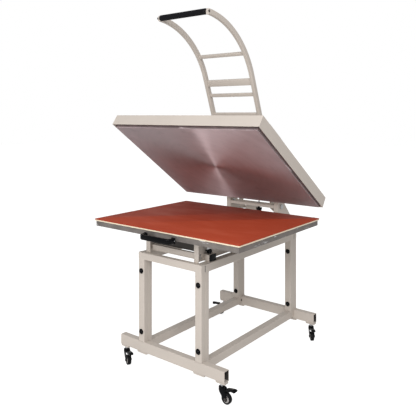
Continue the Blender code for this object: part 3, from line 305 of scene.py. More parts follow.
@dataclass(frozen=True)
class Finish:
    """A plain moulded, coated or rubber surface.

    The mottle shifts the colour, the grain gives bump and breaks up the gloss.
    """

    name: str
    slot: Slot
    colour: Colour
    roughness: float
    metallic: float = 0.0
    mottle: float = 0.06
    mottle_scale: float = 7.0
    grain_scale: float = 900.0
    grain_depth: float = 0.00005
    gloss_spread: float = 0.08
    dust: float = 0.06
    coat: float = 0.0
    sheen: float = 0.0
    specular: float = 0.5

    def effect(self, wiring: Wiring, vector: Socket, effect: Effect, **values: float) -> Socket:
        """Places a shared effect in the material with this finish's numbers."""
        node = wiring.add("ShaderNodeGroup", node_tree=EFFECTS.get(effect))
        wiring.feed(node, Vector=vector, **values)
        return node.outputs[0]

    def shifted(self, factor: float) -> Colour:
        """The finish's colour, made lighter or darker."""
        return tuple(min(1.0, c * factor) for c in self.colour)

    def dress(self, wiring: Wiring, shader: Node, vector: Socket) -> None:
        """Feeds the shader's colour, roughness and normal.

        Args:
            wiring: The material's tree.
            shader: Its Principled shader.
            vector: Object coordinates.
        """
        patches = self.effect(wiring, vector, Effect.MOTTLE, Scale=self.mottle_scale, Contrast=2.2)
        grain = self.effect(wiring, vector, Effect.GRAIN, Scale=self.grain_scale, Depth=1.0)
        colour = wiring.blend(patches, self.shifted(1 - self.mottle), self.shifted(1 + self.mottle))
        if self.dust:
            haze = self.effect(wiring, vector, Effect.DUST, Scale=30.0, Amount=self.dust)
            colour = wiring.blend(haze, colour, (0.62, 0.60, 0.57))
        rough = wiring.span(
            grain, 0.3, 1.1, self.roughness - self.gloss_spread, self.roughness + self.gloss_spread,
        )
        self.bump(wiring, shader, grain, self.grain_depth)
        wiring.feed(shader, Base_Color=colour, Roughness=rough)

    @staticmethod
    def bump(wiring: Wiring, shader: Node, height: Socket, depth: float) -> None:
        """Sends a height to the shader's normal, at a real depth in metres."""
        node = wiring.add("ShaderNodeBump")
        wiring.feed(node, Height=height, Distance=depth, Strength=1.0)
        wiring.join(node.outputs[0], shader.inputs["Normal"])

    def build(self) -> Paint:
        """Makes the material."""
        made = bpy.data.materials.new(self.name)
        made.use_nodes = True
        wiring = Wiring(made.node_tree)
        shader = made.node_tree.nodes["Principled BSDF"]
        wiring.feed(shader, Metallic=self.metallic, Coat_Weight=self.coat)
        shader.inputs["Coat Roughness"].default_value = 0.12
        shader.inputs["Sheen Weight"].default_value = self.sheen
        shader.inputs["Specular IOR Level"].default_value = self.specular
        vector = wiring.add("ShaderNodeTexCoord").outputs["Object"]
        self.dress(wiring, shader, vector)
        return Paint(made, self.slot)


@dataclass(frozen=True)
class BareMetal(Finish):
    """Bare aluminium or plated steel with rubbed streaks and bright scratches."""

    scratch_scale: float = 26.0
    scratch_stretch: float = 10.0
    scratch_amount: float = 0.35
    bright: Colour = (0.80, 0.80, 0.81)

    def dress(self, wiring: Wiring, shader: Node, vector: Socket) -> None:
        """Rubbed colour, streaked gloss and shallow scratches."""
        patches = self.effect(wiring, vector, Effect.MOTTLE, Scale=self.mottle_scale, Contrast=2.6)
        grain = self.effect(wiring, vector, Effect.GRAIN, Scale=self.grain_scale, Depth=1.0)
        lines = self.effect(
            wiring, vector, Effect.SCRATCH,
            Scale=self.scratch_scale, Stretch=self.scratch_stretch, Amount=self.scratch_amount,
        )
        colour = wiring.blend(patches, self.shifted(1 - self.mottle), self.shifted(1 + self.mottle))
        colour = wiring.blend(lines, colour, self.bright)
        rough = wiring.span(
            patches, 0.2, 0.8, self.roughness - self.gloss_spread, self.roughness + self.gloss_spread,
        )
        rough = wiring.math("MULTIPLY_ADD", lines, -0.12, rough)
        height = wiring.math("MULTIPLY_ADD", lines, -1.5, grain)
        self.bump(wiring, shader, height, self.grain_depth)
        wiring.feed(shader, Base_Color=colour, Roughness=rough)


@dataclass(frozen=True)
class TurnedPlate(Finish):
    """A plate faced in circles round its middle, smeared and faintly stained."""

    centre: Point = (0.0, 0.0, 0.0)
    grooves: float = 420.0

    def dress(self, wiring: Wiring, shader: Node, vector: Socket) -> None:
        """Circular facing marks, with their gloss drawn out from the middle."""
        away = wiring.add("ShaderNodeVectorMath", operation="SUBTRACT")
        wiring.join(vector, away.inputs[0])
        away.inputs[1].default_value = self.centre
        turned = wiring.add(
            "ShaderNodeVectorTransform", vector_type="VECTOR", convert_from="OBJECT", convert_to="WORLD",
        )
        wiring.join(away.outputs[0], turned.inputs[0])
        wiring.join(turned.outputs[0], shader.inputs["Tangent"])
        shader.inputs["Anisotropic"].default_value = 0.95
        radius = wiring.add("ShaderNodeVectorMath", operation="LENGTH")
        wiring.join(away.outputs[0], radius.inputs[0])
        ring = wiring.add("ShaderNodeTexNoise", noise_dimensions="1D")
        wiring.join(radius.outputs["Value"], ring.inputs["W"])
        wiring.feed(ring, Scale=self.grooves, Detail=2.0)
        band = wiring.add("ShaderNodeTexNoise", noise_dimensions="1D")
        wiring.join(radius.outputs["Value"], band.inputs["W"])
        wiring.feed(band, Scale=26.0, Detail=4.0)
        smear = self.effect(wiring, vector, Effect.MOTTLE, Scale=3.2, Contrast=2.4)
        stain = self.effect(wiring, vector, Effect.MOTTLE, Scale=11.0, Contrast=1.8)
        both = wiring.math("MULTIPLY_ADD", band.outputs[0], 0.45, wiring.math("MULTIPLY", smear, 0.6))
        colour = wiring.blend(both, self.shifted(1 - self.mottle), self.shifted(1 + self.mottle))
        colour = wiring.blend(wiring.span(stain, 0.62, 0.95, 0.0, 0.35), colour, self.shifted(0.62))
        rough = wiring.span(
            both, 0.25, 0.85, self.roughness - self.gloss_spread, self.roughness + self.gloss_spread,
        )
        self.bump(wiring, shader, ring.outputs[0], self.grain_depth)
        wiring.feed(shader, Base_Color=colour, Roughness=rough)


@dataclass(frozen=True)
class Felted(Finish):
    """Pressed fibres: a fuzzy, uneven, matte surface."""

    def dress(self, wiring: Wiring, shader: Node, vector: Socket) -> None:
        """Crossed fibres from stretched noise, over soft patches."""
        patches = self.effect(wiring, vector, Effect.MOTTLE, Scale=self.mottle_scale, Contrast=2.0)
        fibres = None
        for turn in (0.4, 1.5, 2.6):
            mapping = wiring.add("ShaderNodeMapping")
            mapping.inputs["Rotation"].default_value = (turn, turn * 0.7, turn * 1.3)
            mapping.inputs["Scale"].default_value = (1.0, 7.0, 7.0)
            wiring.join(vector, mapping.inputs["Vector"])
            strand = wiring.noise(mapping.outputs[0], self.grain_scale, 2.0)
            fibres = strand if fibres is None else wiring.math("MAXIMUM", fibres, strand)
        mixed = wiring.math("MULTIPLY_ADD", fibres, 0.6, wiring.math("MULTIPLY", patches, 0.4))
        colour = wiring.blend(mixed, self.shifted(1 - 2 * self.mottle), self.shifted(1 + self.mottle))
        self.bump(wiring, shader, fibres, self.grain_depth)
        wiring.feed(shader, Base_Color=colour, Roughness=wiring.span(fibres, 0.3, 0.8, 0.85, 1.0))


@dataclass(frozen=True)
class SpongeSheet(Finish):
    """A silicone sponge sheet: matte, with a cloth-fine skin and lighter smears that are partly rubbed marks and
    partly a painted sheen.
    """

    # Lighter red of the smears: part rubbed marks, part painted sheen.
    smear: Colour = (0.48, 0.095, 0.045)

    def dress(self, wiring: Wiring, shader: Node, vector: Socket) -> None:
        """Fine skin pores, and slow lighter smears: partly marks where work has been laid, partly a painted sheen.
        """
        mapping = wiring.add("ShaderNodeMapping")
        mapping.inputs["Rotation"].default_value = (0.0, 0.0, 0.5)
        mapping.inputs["Scale"].default_value = (1.0, 2.6, 1.0)
        wiring.join(vector, mapping.inputs["Vector"])
        patches = self.effect(
            wiring, mapping.outputs[0], Effect.MOTTLE, Scale=self.mottle_scale, Contrast=2.4,
        )
        pores = self.effect(wiring, vector, Effect.GRAIN, Scale=self.grain_scale, Depth=1.0)
        colour = wiring.blend(patches, self.shifted(1 - self.mottle), self.shifted(1 + self.mottle))
        # Lightens the high patches with the smear colour, as rubbed marks and as painted sheen.
        colour = wiring.blend(wiring.span(patches, 0.55, 1.0, 0.0, 0.35), colour, self.smear)
        rough = wiring.span(
            patches, 0.1, 0.9, self.roughness + self.gloss_spread, self.roughness - self.gloss_spread,
        )
        self.bump(wiring, shader, pores, self.grain_depth)
        wiring.feed(shader, Base_Color=colour, Roughness=rough)


class Palette:
    """Every finish of the press, by slot or by name."""

    def __init__(self, plate_centre: Vector) -> None:
        """Builds the materials.

        Args:
            plate_centre: Middle of the heating plate's face.
        """
        self.coat = Finish(
            "satin_beige_coat", Slot.COAT, (0.60, 0.536, 0.478), 0.44, mottle=0.025, grain_scale=700.0,
            grain_depth=0.00006, dust=0.04, specular=0.35,
        ).build()
        self.weld = Finish(
            "painted_weld", Slot.COAT, (0.55, 0.49, 0.44), 0.50, mottle=0.05, grain_scale=500.0,
            grain_depth=0.0001,
        ).build()
        self.cast = BareMetal(
            "scratched_cast_aluminium", Slot.CAST, (0.24, 0.215, 0.20), 0.52, metallic=0.6, mottle=0.24,
            mottle_scale=14.0, grain_scale=650.0, grain_depth=0.00008, gloss_spread=0.10, dust=0.0,
            scratch_scale=13.0, scratch_stretch=7.0, scratch_amount=0.30,
        ).build()
        self.plate = TurnedPlate(
            "faced_heating_plate", Slot.CAST, (0.56, 0.455, 0.465), 0.60, metallic=0.72, mottle=0.20,
            grain_depth=0.00001, gloss_spread=0.07, dust=0.0, centre=tuple(plate_centre),
        ).build()
        self.steel = BareMetal(
            "zinc_plated_steel", Slot.STEEL, (0.60, 0.60, 0.61), 0.28, metallic=1.0, mottle=0.06,
            mottle_scale=40.0, grain_scale=1200.0, grain_depth=0.00002, scratch_amount=0.12, dust=0.0,
        ).build()
        self.dark = Finish(
            "dark_primer_and_tie_plate_shade", Slot.DARK, (0.045, 0.038, 0.033), 0.55, mottle=0.15, mottle_scale=20.0,
            grain_scale=500.0,
        ).build()
        self.black = Finish(
            "gloss_black_plastic", Slot.BLACK, (0.003, 0.003, 0.004), 0.17, mottle=0.10, mottle_scale=60.0,
            grain_scale=1600.0, grain_depth=0.00002, dust=0.002, specular=0.12,
        ).build()
        self.grip = Finish(
            "ribbed_black_rubber", Slot.BLACK, (0.005, 0.005, 0.007), 0.42, mottle=0.12, mottle_scale=40.0,
            grain_scale=1400.0, grain_depth=0.00006, dust=0.003, specular=0.15,
        ).build()
        self.tyre = Finish(
            "black_tyre", Slot.TYRE, (0.006, 0.006, 0.007), 0.50, mottle=0.12, mottle_scale=60.0,
            grain_scale=1200.0, grain_depth=0.00005, dust=0.006, specular=0.15,
        ).build()
        self.grey = Finish(
            "grey_plastic", Slot.GREY, (0.34, 0.33, 0.33), 0.45, mottle=0.04, mottle_scale=50.0,
            grain_scale=1500.0, grain_depth=0.00003,
        ).build()
        self.silicone = SpongeSheet(
            "red_silicone_sponge", Slot.SILICONE, (0.42, 0.056, 0.020), 0.66, mottle=0.06, mottle_scale=2.6,
            grain_scale=1500.0, grain_depth=0.00006, specular=0.3,
        ).build()
        self.hub = Finish(
            "pale_nylon", Slot.GREY, (0.56, 0.53, 0.51), 0.40, mottle=0.06, mottle_scale=60.0,
            grain_scale=1500.0, grain_depth=0.00003,
        ).build()
        # Dark finish for the joint slits, and painted shade for the linings inside the foot tubes' open ends.
        self.slit_dark_and_tube_shade = Finish(
            "dark_slit_and_tube_shade_finish", Slot.DARK, (0.050, 0.045, 0.042), 0.70, mottle=0.30, mottle_scale=30.0,
            grain_scale=400.0, grain_depth=0.0001,
        ).build()
        self.felt = Felted(
            "cream_felt", Slot.FELT, (0.93, 0.80, 0.60), 0.95, mottle=0.06, mottle_scale=30.0,
            grain_scale=420.0, grain_depth=0.0003, sheen=0.2,
        ).build()
        self.wool = Felted(
            "white_fibre_blanket", Slot.WOOL, (0.80, 0.78, 0.72), 0.95, mottle=0.07, mottle_scale=14.0,
            grain_scale=300.0, grain_depth=0.0004,
        ).build()
        self.window = Finish(
            "smoked_window", Slot.BLACK, (0.012, 0.016, 0.018), 0.10, mottle=0.05, mottle_scale=30.0,
            grain_scale=900.0, grain_depth=0.000005, coat=0.8, dust=0.0,
        ).build()
        self.by_slot = {paint.slot: paint for paint in (
            self.coat, self.cast, self.steel, self.dark, self.black,
            self.tyre, self.grey, self.silicone, self.felt, self.wool,
        )}

    def dress_frame(self) -> None:
        """Gives every CAD node the finish of its slot, except the heating plate, the grip and the front tie plate,
        which get their own; the tie plate's dark finish is painted shade under the table.
        """
        # The front tie plate takes the dark primer as painted shade in the opening under the table.
        special = {"heating_plate": self.plate, "ladder_grip": self.grip, "front_tie_plate": self.dark}
        for part in frame["record"]["subparts"]:
            node = frame["nodes"][part["node"]]
            paint = special.get(part["node"], self.by_slot[Slot(part["material_slot"])])
            node.data.materials.clear()
            node.data.materials.append(paint.material)


# --- Shapes --------------------------------------------------------------


class Shape:
    """A mesh under construction, in the press's own frame."""

    def __init__(self) -> None:
        """Starts empty."""
        self.mesh = bmesh.new()

    def box(
        self, low: Sequence[float], high: Sequence[float], corner: float = 0.0, segments: int = 3,
        place: Matrix | None = None,
    ) -> "Shape":
        """Adds a box, with all its edges rounded.

        Args:
            low: Lowest corner.
            high: Highest corner.
            corner: Radius of the rounding, or 0 for none.
            segments: Faces round each edge.
            place: A matrix put on the finished box.

        Returns:
            This shape.
        """
        part = bmesh.new()
        bmesh.ops.create_cube(part, size=1.0)
        size = [b - a for a, b in zip(low, high)]
        bmesh.ops.scale(part, vec=size, verts=part.verts)
        bmesh.ops.translate(part, vec=[(a + b) / 2 for a, b in zip(low, high)], verts=part.verts)
        if corner:
            bmesh.ops.bevel(
                part, geom=part.edges[:], offset=corner, segments=segments, profile=0.5, affect="EDGES",
            )
        return self.take(part, place)

    def turned(
        self, profile: Sequence[Pair], place: Matrix, steps: int = 28, ring: bool = False,
    ) -> "Shape":
        """Adds a shape turned about Z from a profile of radius and height.

        Args:
            profile: Radius and height, from one end to the other.
            place: Where the turned shape goes.
            steps: Faces round it.
            ring: Whether the profile closes on itself, off the axis.

        Returns:
            This shape.
        """
        part = bmesh.new()
        rows = []
        for radius, height in profile:
            if radius < 1e-7:
                rows.append([part.verts.new((0.0, 0.0, height))])
                continue
            turns = [2 * math.pi * i / steps for i in range(steps)]
            rows.append(
                [part.verts.new((radius * math.cos(a), radius * math.sin(a), height)) for a in turns]
            )
        pairs = list(zip(rows, rows[1:]))
        if ring:
            pairs.append((rows[-1], rows[0]))
        for first, second in pairs:
            for i in range(steps):
                j = (i + 1) % steps
                corners = [
                    first[i % len(first)], first[j % len(first)], second[j % len(second)],
                    second[i % len(second)],
                ]
                unique = list(dict.fromkeys(corners))
                if len(unique) > 2:
                    part.faces.new(unique)
        for row in () if ring else (rows[0], rows[-1]):
            if len(row) > 1:
                part.faces.new(row)
        bmesh.ops.recalc_face_normals(part, faces=part.faces)
        return self.take(part, place)

    def prism(
        self, outline: Sequence[Pair], low: float, high: float, corner: float = 0.0,
        place: Matrix | None = None, segments: int = 2,
    ) -> "Shape":
        """Adds an outline in X and Y, raised from one height to another, with its rims rounded.

        Args:
            outline: The corners in order.
            low: Height of the lower face.
            high: Height of the upper face.
            corner: Radius of the rounding, or 0 for none.
            place: Where the prism goes.
            segments: Faces round each rounded edge.

        Returns:
            This shape.
        """
        part = bmesh.new()
        base = part.faces.new([part.verts.new((x, y, low)) for x, y in outline])
        raised = bmesh.ops.extrude_face_region(part, geom=[base])
        top = [e for e in raised["geom"] if isinstance(e, bmesh.types.BMVert)]
        bmesh.ops.translate(part, vec=(0, 0, high - low), verts=top)
        bmesh.ops.recalc_face_normals(part, faces=part.faces)
        if corner:
            bmesh.ops.bevel(
                part, geom=part.edges[:], offset=corner, segments=segments, profile=0.5, affect="EDGES",
            )
        return self.take(part, place)

    def lofted(self, rings: Sequence[Sequence[Point]], place: Matrix | None = None) -> "Shape":
        """Adds a closed skin over rings of equal length, capped at both ends."""
        part = bmesh.new()
        rows = [[part.verts.new(point) for point in ring] for ring in rings]
        for first, second in zip(rows, rows[1:]):
            for i in range(len(first)):
                j = (i + 1) % len(first)
                part.faces.new((first[i], first[j], second[j], second[i]))
        part.faces.new(rows[0])
        part.faces.new(rows[-1])
        bmesh.ops.recalc_face_normals(part, faces=part.faces)
        return self.take(part, place)

    def take(self, part: "bmesh.types.BMesh | Mesh", place: Matrix | None = None) -> "Shape":
        """Adds a finished part, freed afterwards, and returns this shape."""
        if isinstance(part, bmesh.types.BMesh):
            mesh = bpy.data.meshes.new("part")
            part.to_mesh(mesh)
            part.free()
        else:
            mesh = part
        if place is not None:
            mesh.transform(place)
        self.mesh.from_mesh(mesh)
        bpy.data.meshes.remove(mesh)
        return self

    def as_mesh(self, name: str) -> Mesh:
        """The shape as a plain mesh."""
        mesh = bpy.data.meshes.new(name)
        self.mesh.to_mesh(mesh)
        self.mesh.free()
        return mesh

    def publish(
        self, name: str, paint: Paint, body: str, stands_for: Sequence[str] = (),
    ) -> bpy.types.Object:
        """Makes the shape a piece of the press.

        Args:
            name: The piece's name.
            paint: Its finish.
            body: The body it rides on.
            stands_for: The CAD nodes it replaces.

        Returns:
            The piece.
        """
        mesh = self.as_mesh(name)
        mesh.materials.clear()
        mesh.materials.append(paint.material)
        mesh.polygons.foreach_set("material_index", [0] * len(mesh.polygons))
        mesh.shade_smooth()
        mesh.set_sharp_from_angle(angle=SHARP_EDGE)
        piece = bpy.data.objects.new(name, mesh)
        bpy.context.scene.collection.objects.link(piece)
        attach(piece, body)
        if stands_for:
            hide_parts(*stands_for)
        LOG.info("piece %s on %s, %d faces", name, body, len(mesh.polygons))
        return piece


def lobed_ring(radius: float, height: float, steps: int, swell: Callable[[float], float]) -> list[Point]:
    """Points round a circle, each moved in or out by the swell at its angle."""
    turns = [2 * math.pi * i / steps for i in range(steps)]
    return [(radius * swell(a) * math.cos(a), radius * swell(a) * math.sin(a), height) for a in turns]


def rounded_outline(outline: Sequence[Pair], radius: float, steps: int = 4) -> list[Pair]:
    """An outline with each corner cut to a short arc.

    Args:
        outline: The sharp corners in order.
        radius: How far from the corner each arc starts.
        steps: Points along each arc, less one.

    Returns:
        The rounded outline.
    """
    made: list[Pair] = []
    count = len(outline)
    for i, corner in enumerate(outline):
        here = Vector(corner)
        before, after = Vector(outline[i - 1]) - here, Vector(outline[(i + 1) % count]) - here
        reach = min(radius, before.length * 0.49, after.length * 0.49)
        start, end = here + before.normalized() * reach, here + after.normalized() * reach
        for step in range(steps + 1):
            t = step / steps
            point = start * (1 - t) ** 2 + here * 2 * t * (1 - t) + end * t * t
            made.append((point.x, point.y))
    return made


# --- Geometry Nodes tools ------------------------------------------------


class Tool:
    """A Geometry Nodes tree with named inputs, run on a mesh to give a plain mesh."""

    NAME = "tool"
    INPUTS: tuple[tuple[str, str], ...] = ()

    def __init__(self) -> None:
        """Builds the tree."""
        self.tree = bpy.data.node_groups.new(self.NAME, "GeometryNodeTree")
        self.tree.interface.new_socket("Geometry", in_out="INPUT", socket_type="NodeSocketGeometry")
        for name, kind in self.INPUTS:
            self.tree.interface.new_socket(name, in_out="INPUT", socket_type=f"NodeSocket{kind}")
        self.tree.interface.new_socket("Geometry", in_out="OUTPUT", socket_type="NodeSocketGeometry")
        self.wiring = Wiring(self.tree)
        self.source = self.wiring.add("NodeGroupInput").outputs
        shape = self.make()
        realized = self.wiring.add("GeometryNodeRealizeInstances")
        self.wiring.join(shape, realized.inputs[0])
        painted = self.wiring.add("GeometryNodeSetMaterial")
        self.wiring.feed(painted, Geometry=realized.outputs[0], Material=self.source["Finish"])
        self.wiring.join(painted.outputs[0], self.wiring.add("NodeGroupOutput").inputs[0])

    def make(self) -> Socket:
        """Lays out the tree's own nodes and returns the geometry made."""
        raise NotImplementedError

    def run(self, source: Mesh, **inputs: object) -> Mesh:
        """Runs the tree.

        Args:
            source: The mesh it works on, used up.
            inputs: The tree's inputs by name, with _ for a space.

        Returns:
            The result, as a plain mesh.
        """
        holder = bpy.data.objects.new(self.NAME, source)
        bpy.context.scene.collection.objects.link(holder)
        modifier = holder.modifiers.new(self.NAME, "NODES")
        modifier.node_group = self.tree
        given = {name.replace("_", " "): value for name, value in inputs.items()}
        for item in self.tree.interface.items_tree:
            if item.in_out == "INPUT" and item.name in given:
                modifier[item.identifier] = given[item.name]
        graph = bpy.context.evaluated_depsgraph_get()
        graph.update()
        made = bpy.data.meshes.new_from_object(holder.evaluated_get(graph), depsgraph=graph)
        bpy.data.objects.remove(holder, do_unlink=True)
        return made


class Scatter(Tool):
    """Sets one small head on every point, turned to face the point's own way."""

    NAME = "scatter_heads"
    INPUTS = (("Head", "Object"), ("Finish", "Material"))

    def make(self) -> Socket:
        """Head instances on points, aligned to the facing attribute."""
        wiring = self.wiring
        head = wiring.add("GeometryNodeObjectInfo")
        wiring.join(self.source["Head"], head.inputs["Object"])
        facing = wiring.add("GeometryNodeInputNamedAttribute", data_type="FLOAT_VECTOR")
        facing.inputs["Name"].default_value = "facing"
        turn = wiring.add("FunctionNodeAlignRotationToVector", axis="Z")
        wiring.feed(turn, Vector=facing.outputs["Attribute"])
        placed = wiring.add("GeometryNodeInstanceOnPoints")
        wiring.feed(
            placed, Points=self.source["Geometry"], Instance=head.outputs["Geometry"],
            Rotation=turn.outputs[0],
        )
        return placed.outputs[0]

    def heads(self, head: Shape, spots: Iterable[Spot], finish: Material) -> Mesh:
        """Copies a head, made about Z with its seat at height 0, to each spot.

        Args:
            head: The head's shape.
            spots: Place and facing of each copy.
            finish: Its material.

        Returns:
            All the heads as one mesh.
        """
        spots = list(spots)
        points = bpy.data.meshes.new("spots")
        points.from_pydata([tuple(place) for place, _ in spots], [], [])
        facing = points.attributes.new("facing", "FLOAT_VECTOR", "POINT")
        facing.data.foreach_set("vector", [c for _, way in spots for c in way])
        pattern = bpy.data.objects.new("head", head.as_mesh("head"))
        bpy.context.scene.collection.objects.link(pattern)
        made = self.run(points, Head=pattern, Finish=finish)
        bpy.data.objects.remove(pattern, do_unlink=True)
        return made


class Sweep(Tool):
    """Sweeps a rounded rectangle along every path, Width across it and Depth in its own plane."""

    NAME = "sweep_section"
    INPUTS = (("Width", "Float"), ("Depth", "Float"), ("Corner", "Float"), ("Finish", "Material"))

    def make(self) -> Socket:
        """A filleted section on a curve that keeps its sides upright."""
        wiring = self.wiring
        path = wiring.add("GeometryNodeMeshToCurve")
        wiring.join(self.source["Geometry"], path.inputs[0])
        upright = wiring.add("GeometryNodeSetCurveNormal", mode="Z_UP")
        wiring.join(path.outputs[0], upright.inputs[0])
        section = wiring.add("GeometryNodeCurvePrimitiveQuadrilateral")
        wiring.feed(section, Width=self.source["Width"], Height=self.source["Depth"])
        softened = wiring.add("GeometryNodeFilletCurve", mode="POLY")
        wiring.feed(
            softened, Curve=section.outputs[0], Count=4, Radius=self.source["Corner"], Limit_Radius=True,
        )
        solid = wiring.add("GeometryNodeCurveToMesh")
        wiring.feed(solid, Curve=upright.outputs[0], Profile_Curve=softened.outputs[0], Fill_Caps=True)
        return solid.outputs[0]

    def along(
        self, paths: Iterable[Path], width: float, depth: float, corner: float, finish: Material,
    ) -> Mesh:
        """Sweeps the section along each list of points and returns one mesh."""
        return self.run(path_mesh(paths), Width=width, Depth=depth, Corner=corner, Finish=finish)


class Weld(Tool):
    """Lays overlapping ripples along every path, as a weld bead has."""

    NAME = "weld_bead"
    INPUTS = (("Pitch", "Float"), ("Radius", "Float"), ("Seed", "Int"), ("Finish", "Material"))

    def make(self) -> Socket:
        """Small uneven balls at an even pitch."""
        wiring = self.wiring
        path = wiring.add("GeometryNodeMeshToCurve")
        wiring.join(self.source["Geometry"], path.inputs[0])
        spaced = wiring.add("GeometryNodeResampleCurve", mode="LENGTH")
        wiring.feed(spaced, Curve=path.outputs[0], Length=self.source["Pitch"])
        ripple = wiring.add("GeometryNodeMeshUVSphere")
        wiring.feed(ripple, Segments=8, Rings=5, Radius=self.source["Radius"])
        size = wiring.add("FunctionNodeRandomValue", data_type="FLOAT")
        numbers = [s for s in size.inputs if s.type == "VALUE" and s.enabled]
        numbers[0].default_value, numbers[1].default_value = 0.85, 1.15
        wiring.join(self.source["Seed"], size.inputs["Seed"])
        placed = wiring.add("GeometryNodeInstanceOnPoints")
        spread = next(s for s in size.outputs if s.enabled)
        wiring.feed(placed, Points=spaced.outputs[0], Instance=ripple.outputs[0], Scale=spread)
        return placed.outputs[0]

    def along(self, paths: Iterable[Path], radius: float, finish: Material, seed: int) -> Mesh:
        """Lays a bead of a radius along each list of points and returns one mesh."""
        return self.run(path_mesh(paths), Pitch=radius * 1.15, Radius=radius, Seed=seed, Finish=finish)


def path_mesh(paths: Iterable[Path]) -> Mesh:
    """Lists of points as one mesh of edges."""
    points: list[tuple[float, ...]] = []
    edges: list[tuple[int, int]] = []
    for path in paths:
        first = len(points)
        points += [tuple(p) for p in path]
        edges += [(first + i, first + i + 1) for i in range(len(path) - 1)]
    mesh = bpy.data.meshes.new("path")
    mesh.from_pydata(points, edges, [])
    return mesh


@dataclass
class Workshop:
    """The finishes and tools that every sub-assembly is made with."""

    paint: Palette
    scatter: Scatter
    sweep: Sweep
    weld: Weld

    def fix_heads(self, name: str, head: Shape, spots: Iterable[Spot], paint: Paint, body: str) -> None:
        """Makes one piece of a head copied to every spot, as place and facing."""
        Shape().take(self.scatter.heads(head, spots, paint.material)).publish(name, paint, body)

    def lay_beads(self, name: str, paths: Iterable[Path], radius: float, body: str, seed: int) -> None:
        """Makes one piece of the weld beads along every path."""
        made = self.weld.along(paths, radius, self.paint.weld.material, seed)
        Shape().take(made).publish(name, self.paint.weld, body)

    @staticmethod
    def hex_head(across: float, height: float, washer: float = 0.0) -> Shape:
        """A hexagon head with a chamfered top, on a washer where one is asked for."""
        shape = Shape()
        seat = 0.0
        if washer:
            seat = height * 0.25
            shape.turned([(washer, 0.0), (washer, seat)], Matrix(), 20)
        radius = across / math.sqrt(3)
        shape.turned(
            [(radius, seat), (radius, seat + height * 0.85), (radius * 0.86, seat + height)], Matrix(), 6,
        )
        return shape

    @staticmethod
    def dome_head(radius: float, height: float) -> Shape:
        """A capped dome with a thin flange."""
        rim = height * 0.22
        bow = [
            (radius * 0.86 * math.cos(a), rim + (height - rim) * math.sin(a))
            for a in (0.0, 0.45, 0.9, 1.3)
        ]
        return Shape().turned([(radius, 0.0), (radius, rim), *bow, (0.0, height)], Matrix(), 18)

    @staticmethod
    def socket_head(radius: float, height: float) -> Shape:
        """A cap screw's head, with its hexagon socket sunk in."""
        inner, deep = radius * 0.52, height * 0.4
        profile = [
            (radius, 0.0), (radius, height * 0.85), (radius * 0.9, height), (inner, height), (inner, deep),
            (0.0, deep),
        ]
        return Shape().turned(profile, Matrix(), 12)

    @staticmethod
    def pan_head(radius: float, height: float) -> Shape:
        """A low pan head with a crossed recess."""
        shape = Shape()
        shape.turned(
            [
                (radius, 0.0), (radius * 0.96, height * 0.55), (radius * 0.7, height),
                (radius * 0.3, height), (0.0, height * 0.5),
            ],
            Matrix(), 14,
        )
        return shape


# --- Sub-assemblies ------------------------------------------------------


@dataclass
class Assembly:
    """A sub-assembly, made with the workshop's finishes and tools."""

    shop: Workshop

    @property
    def paint(self) -> Palette:
        """The workshop's finishes."""
        return self.shop.paint


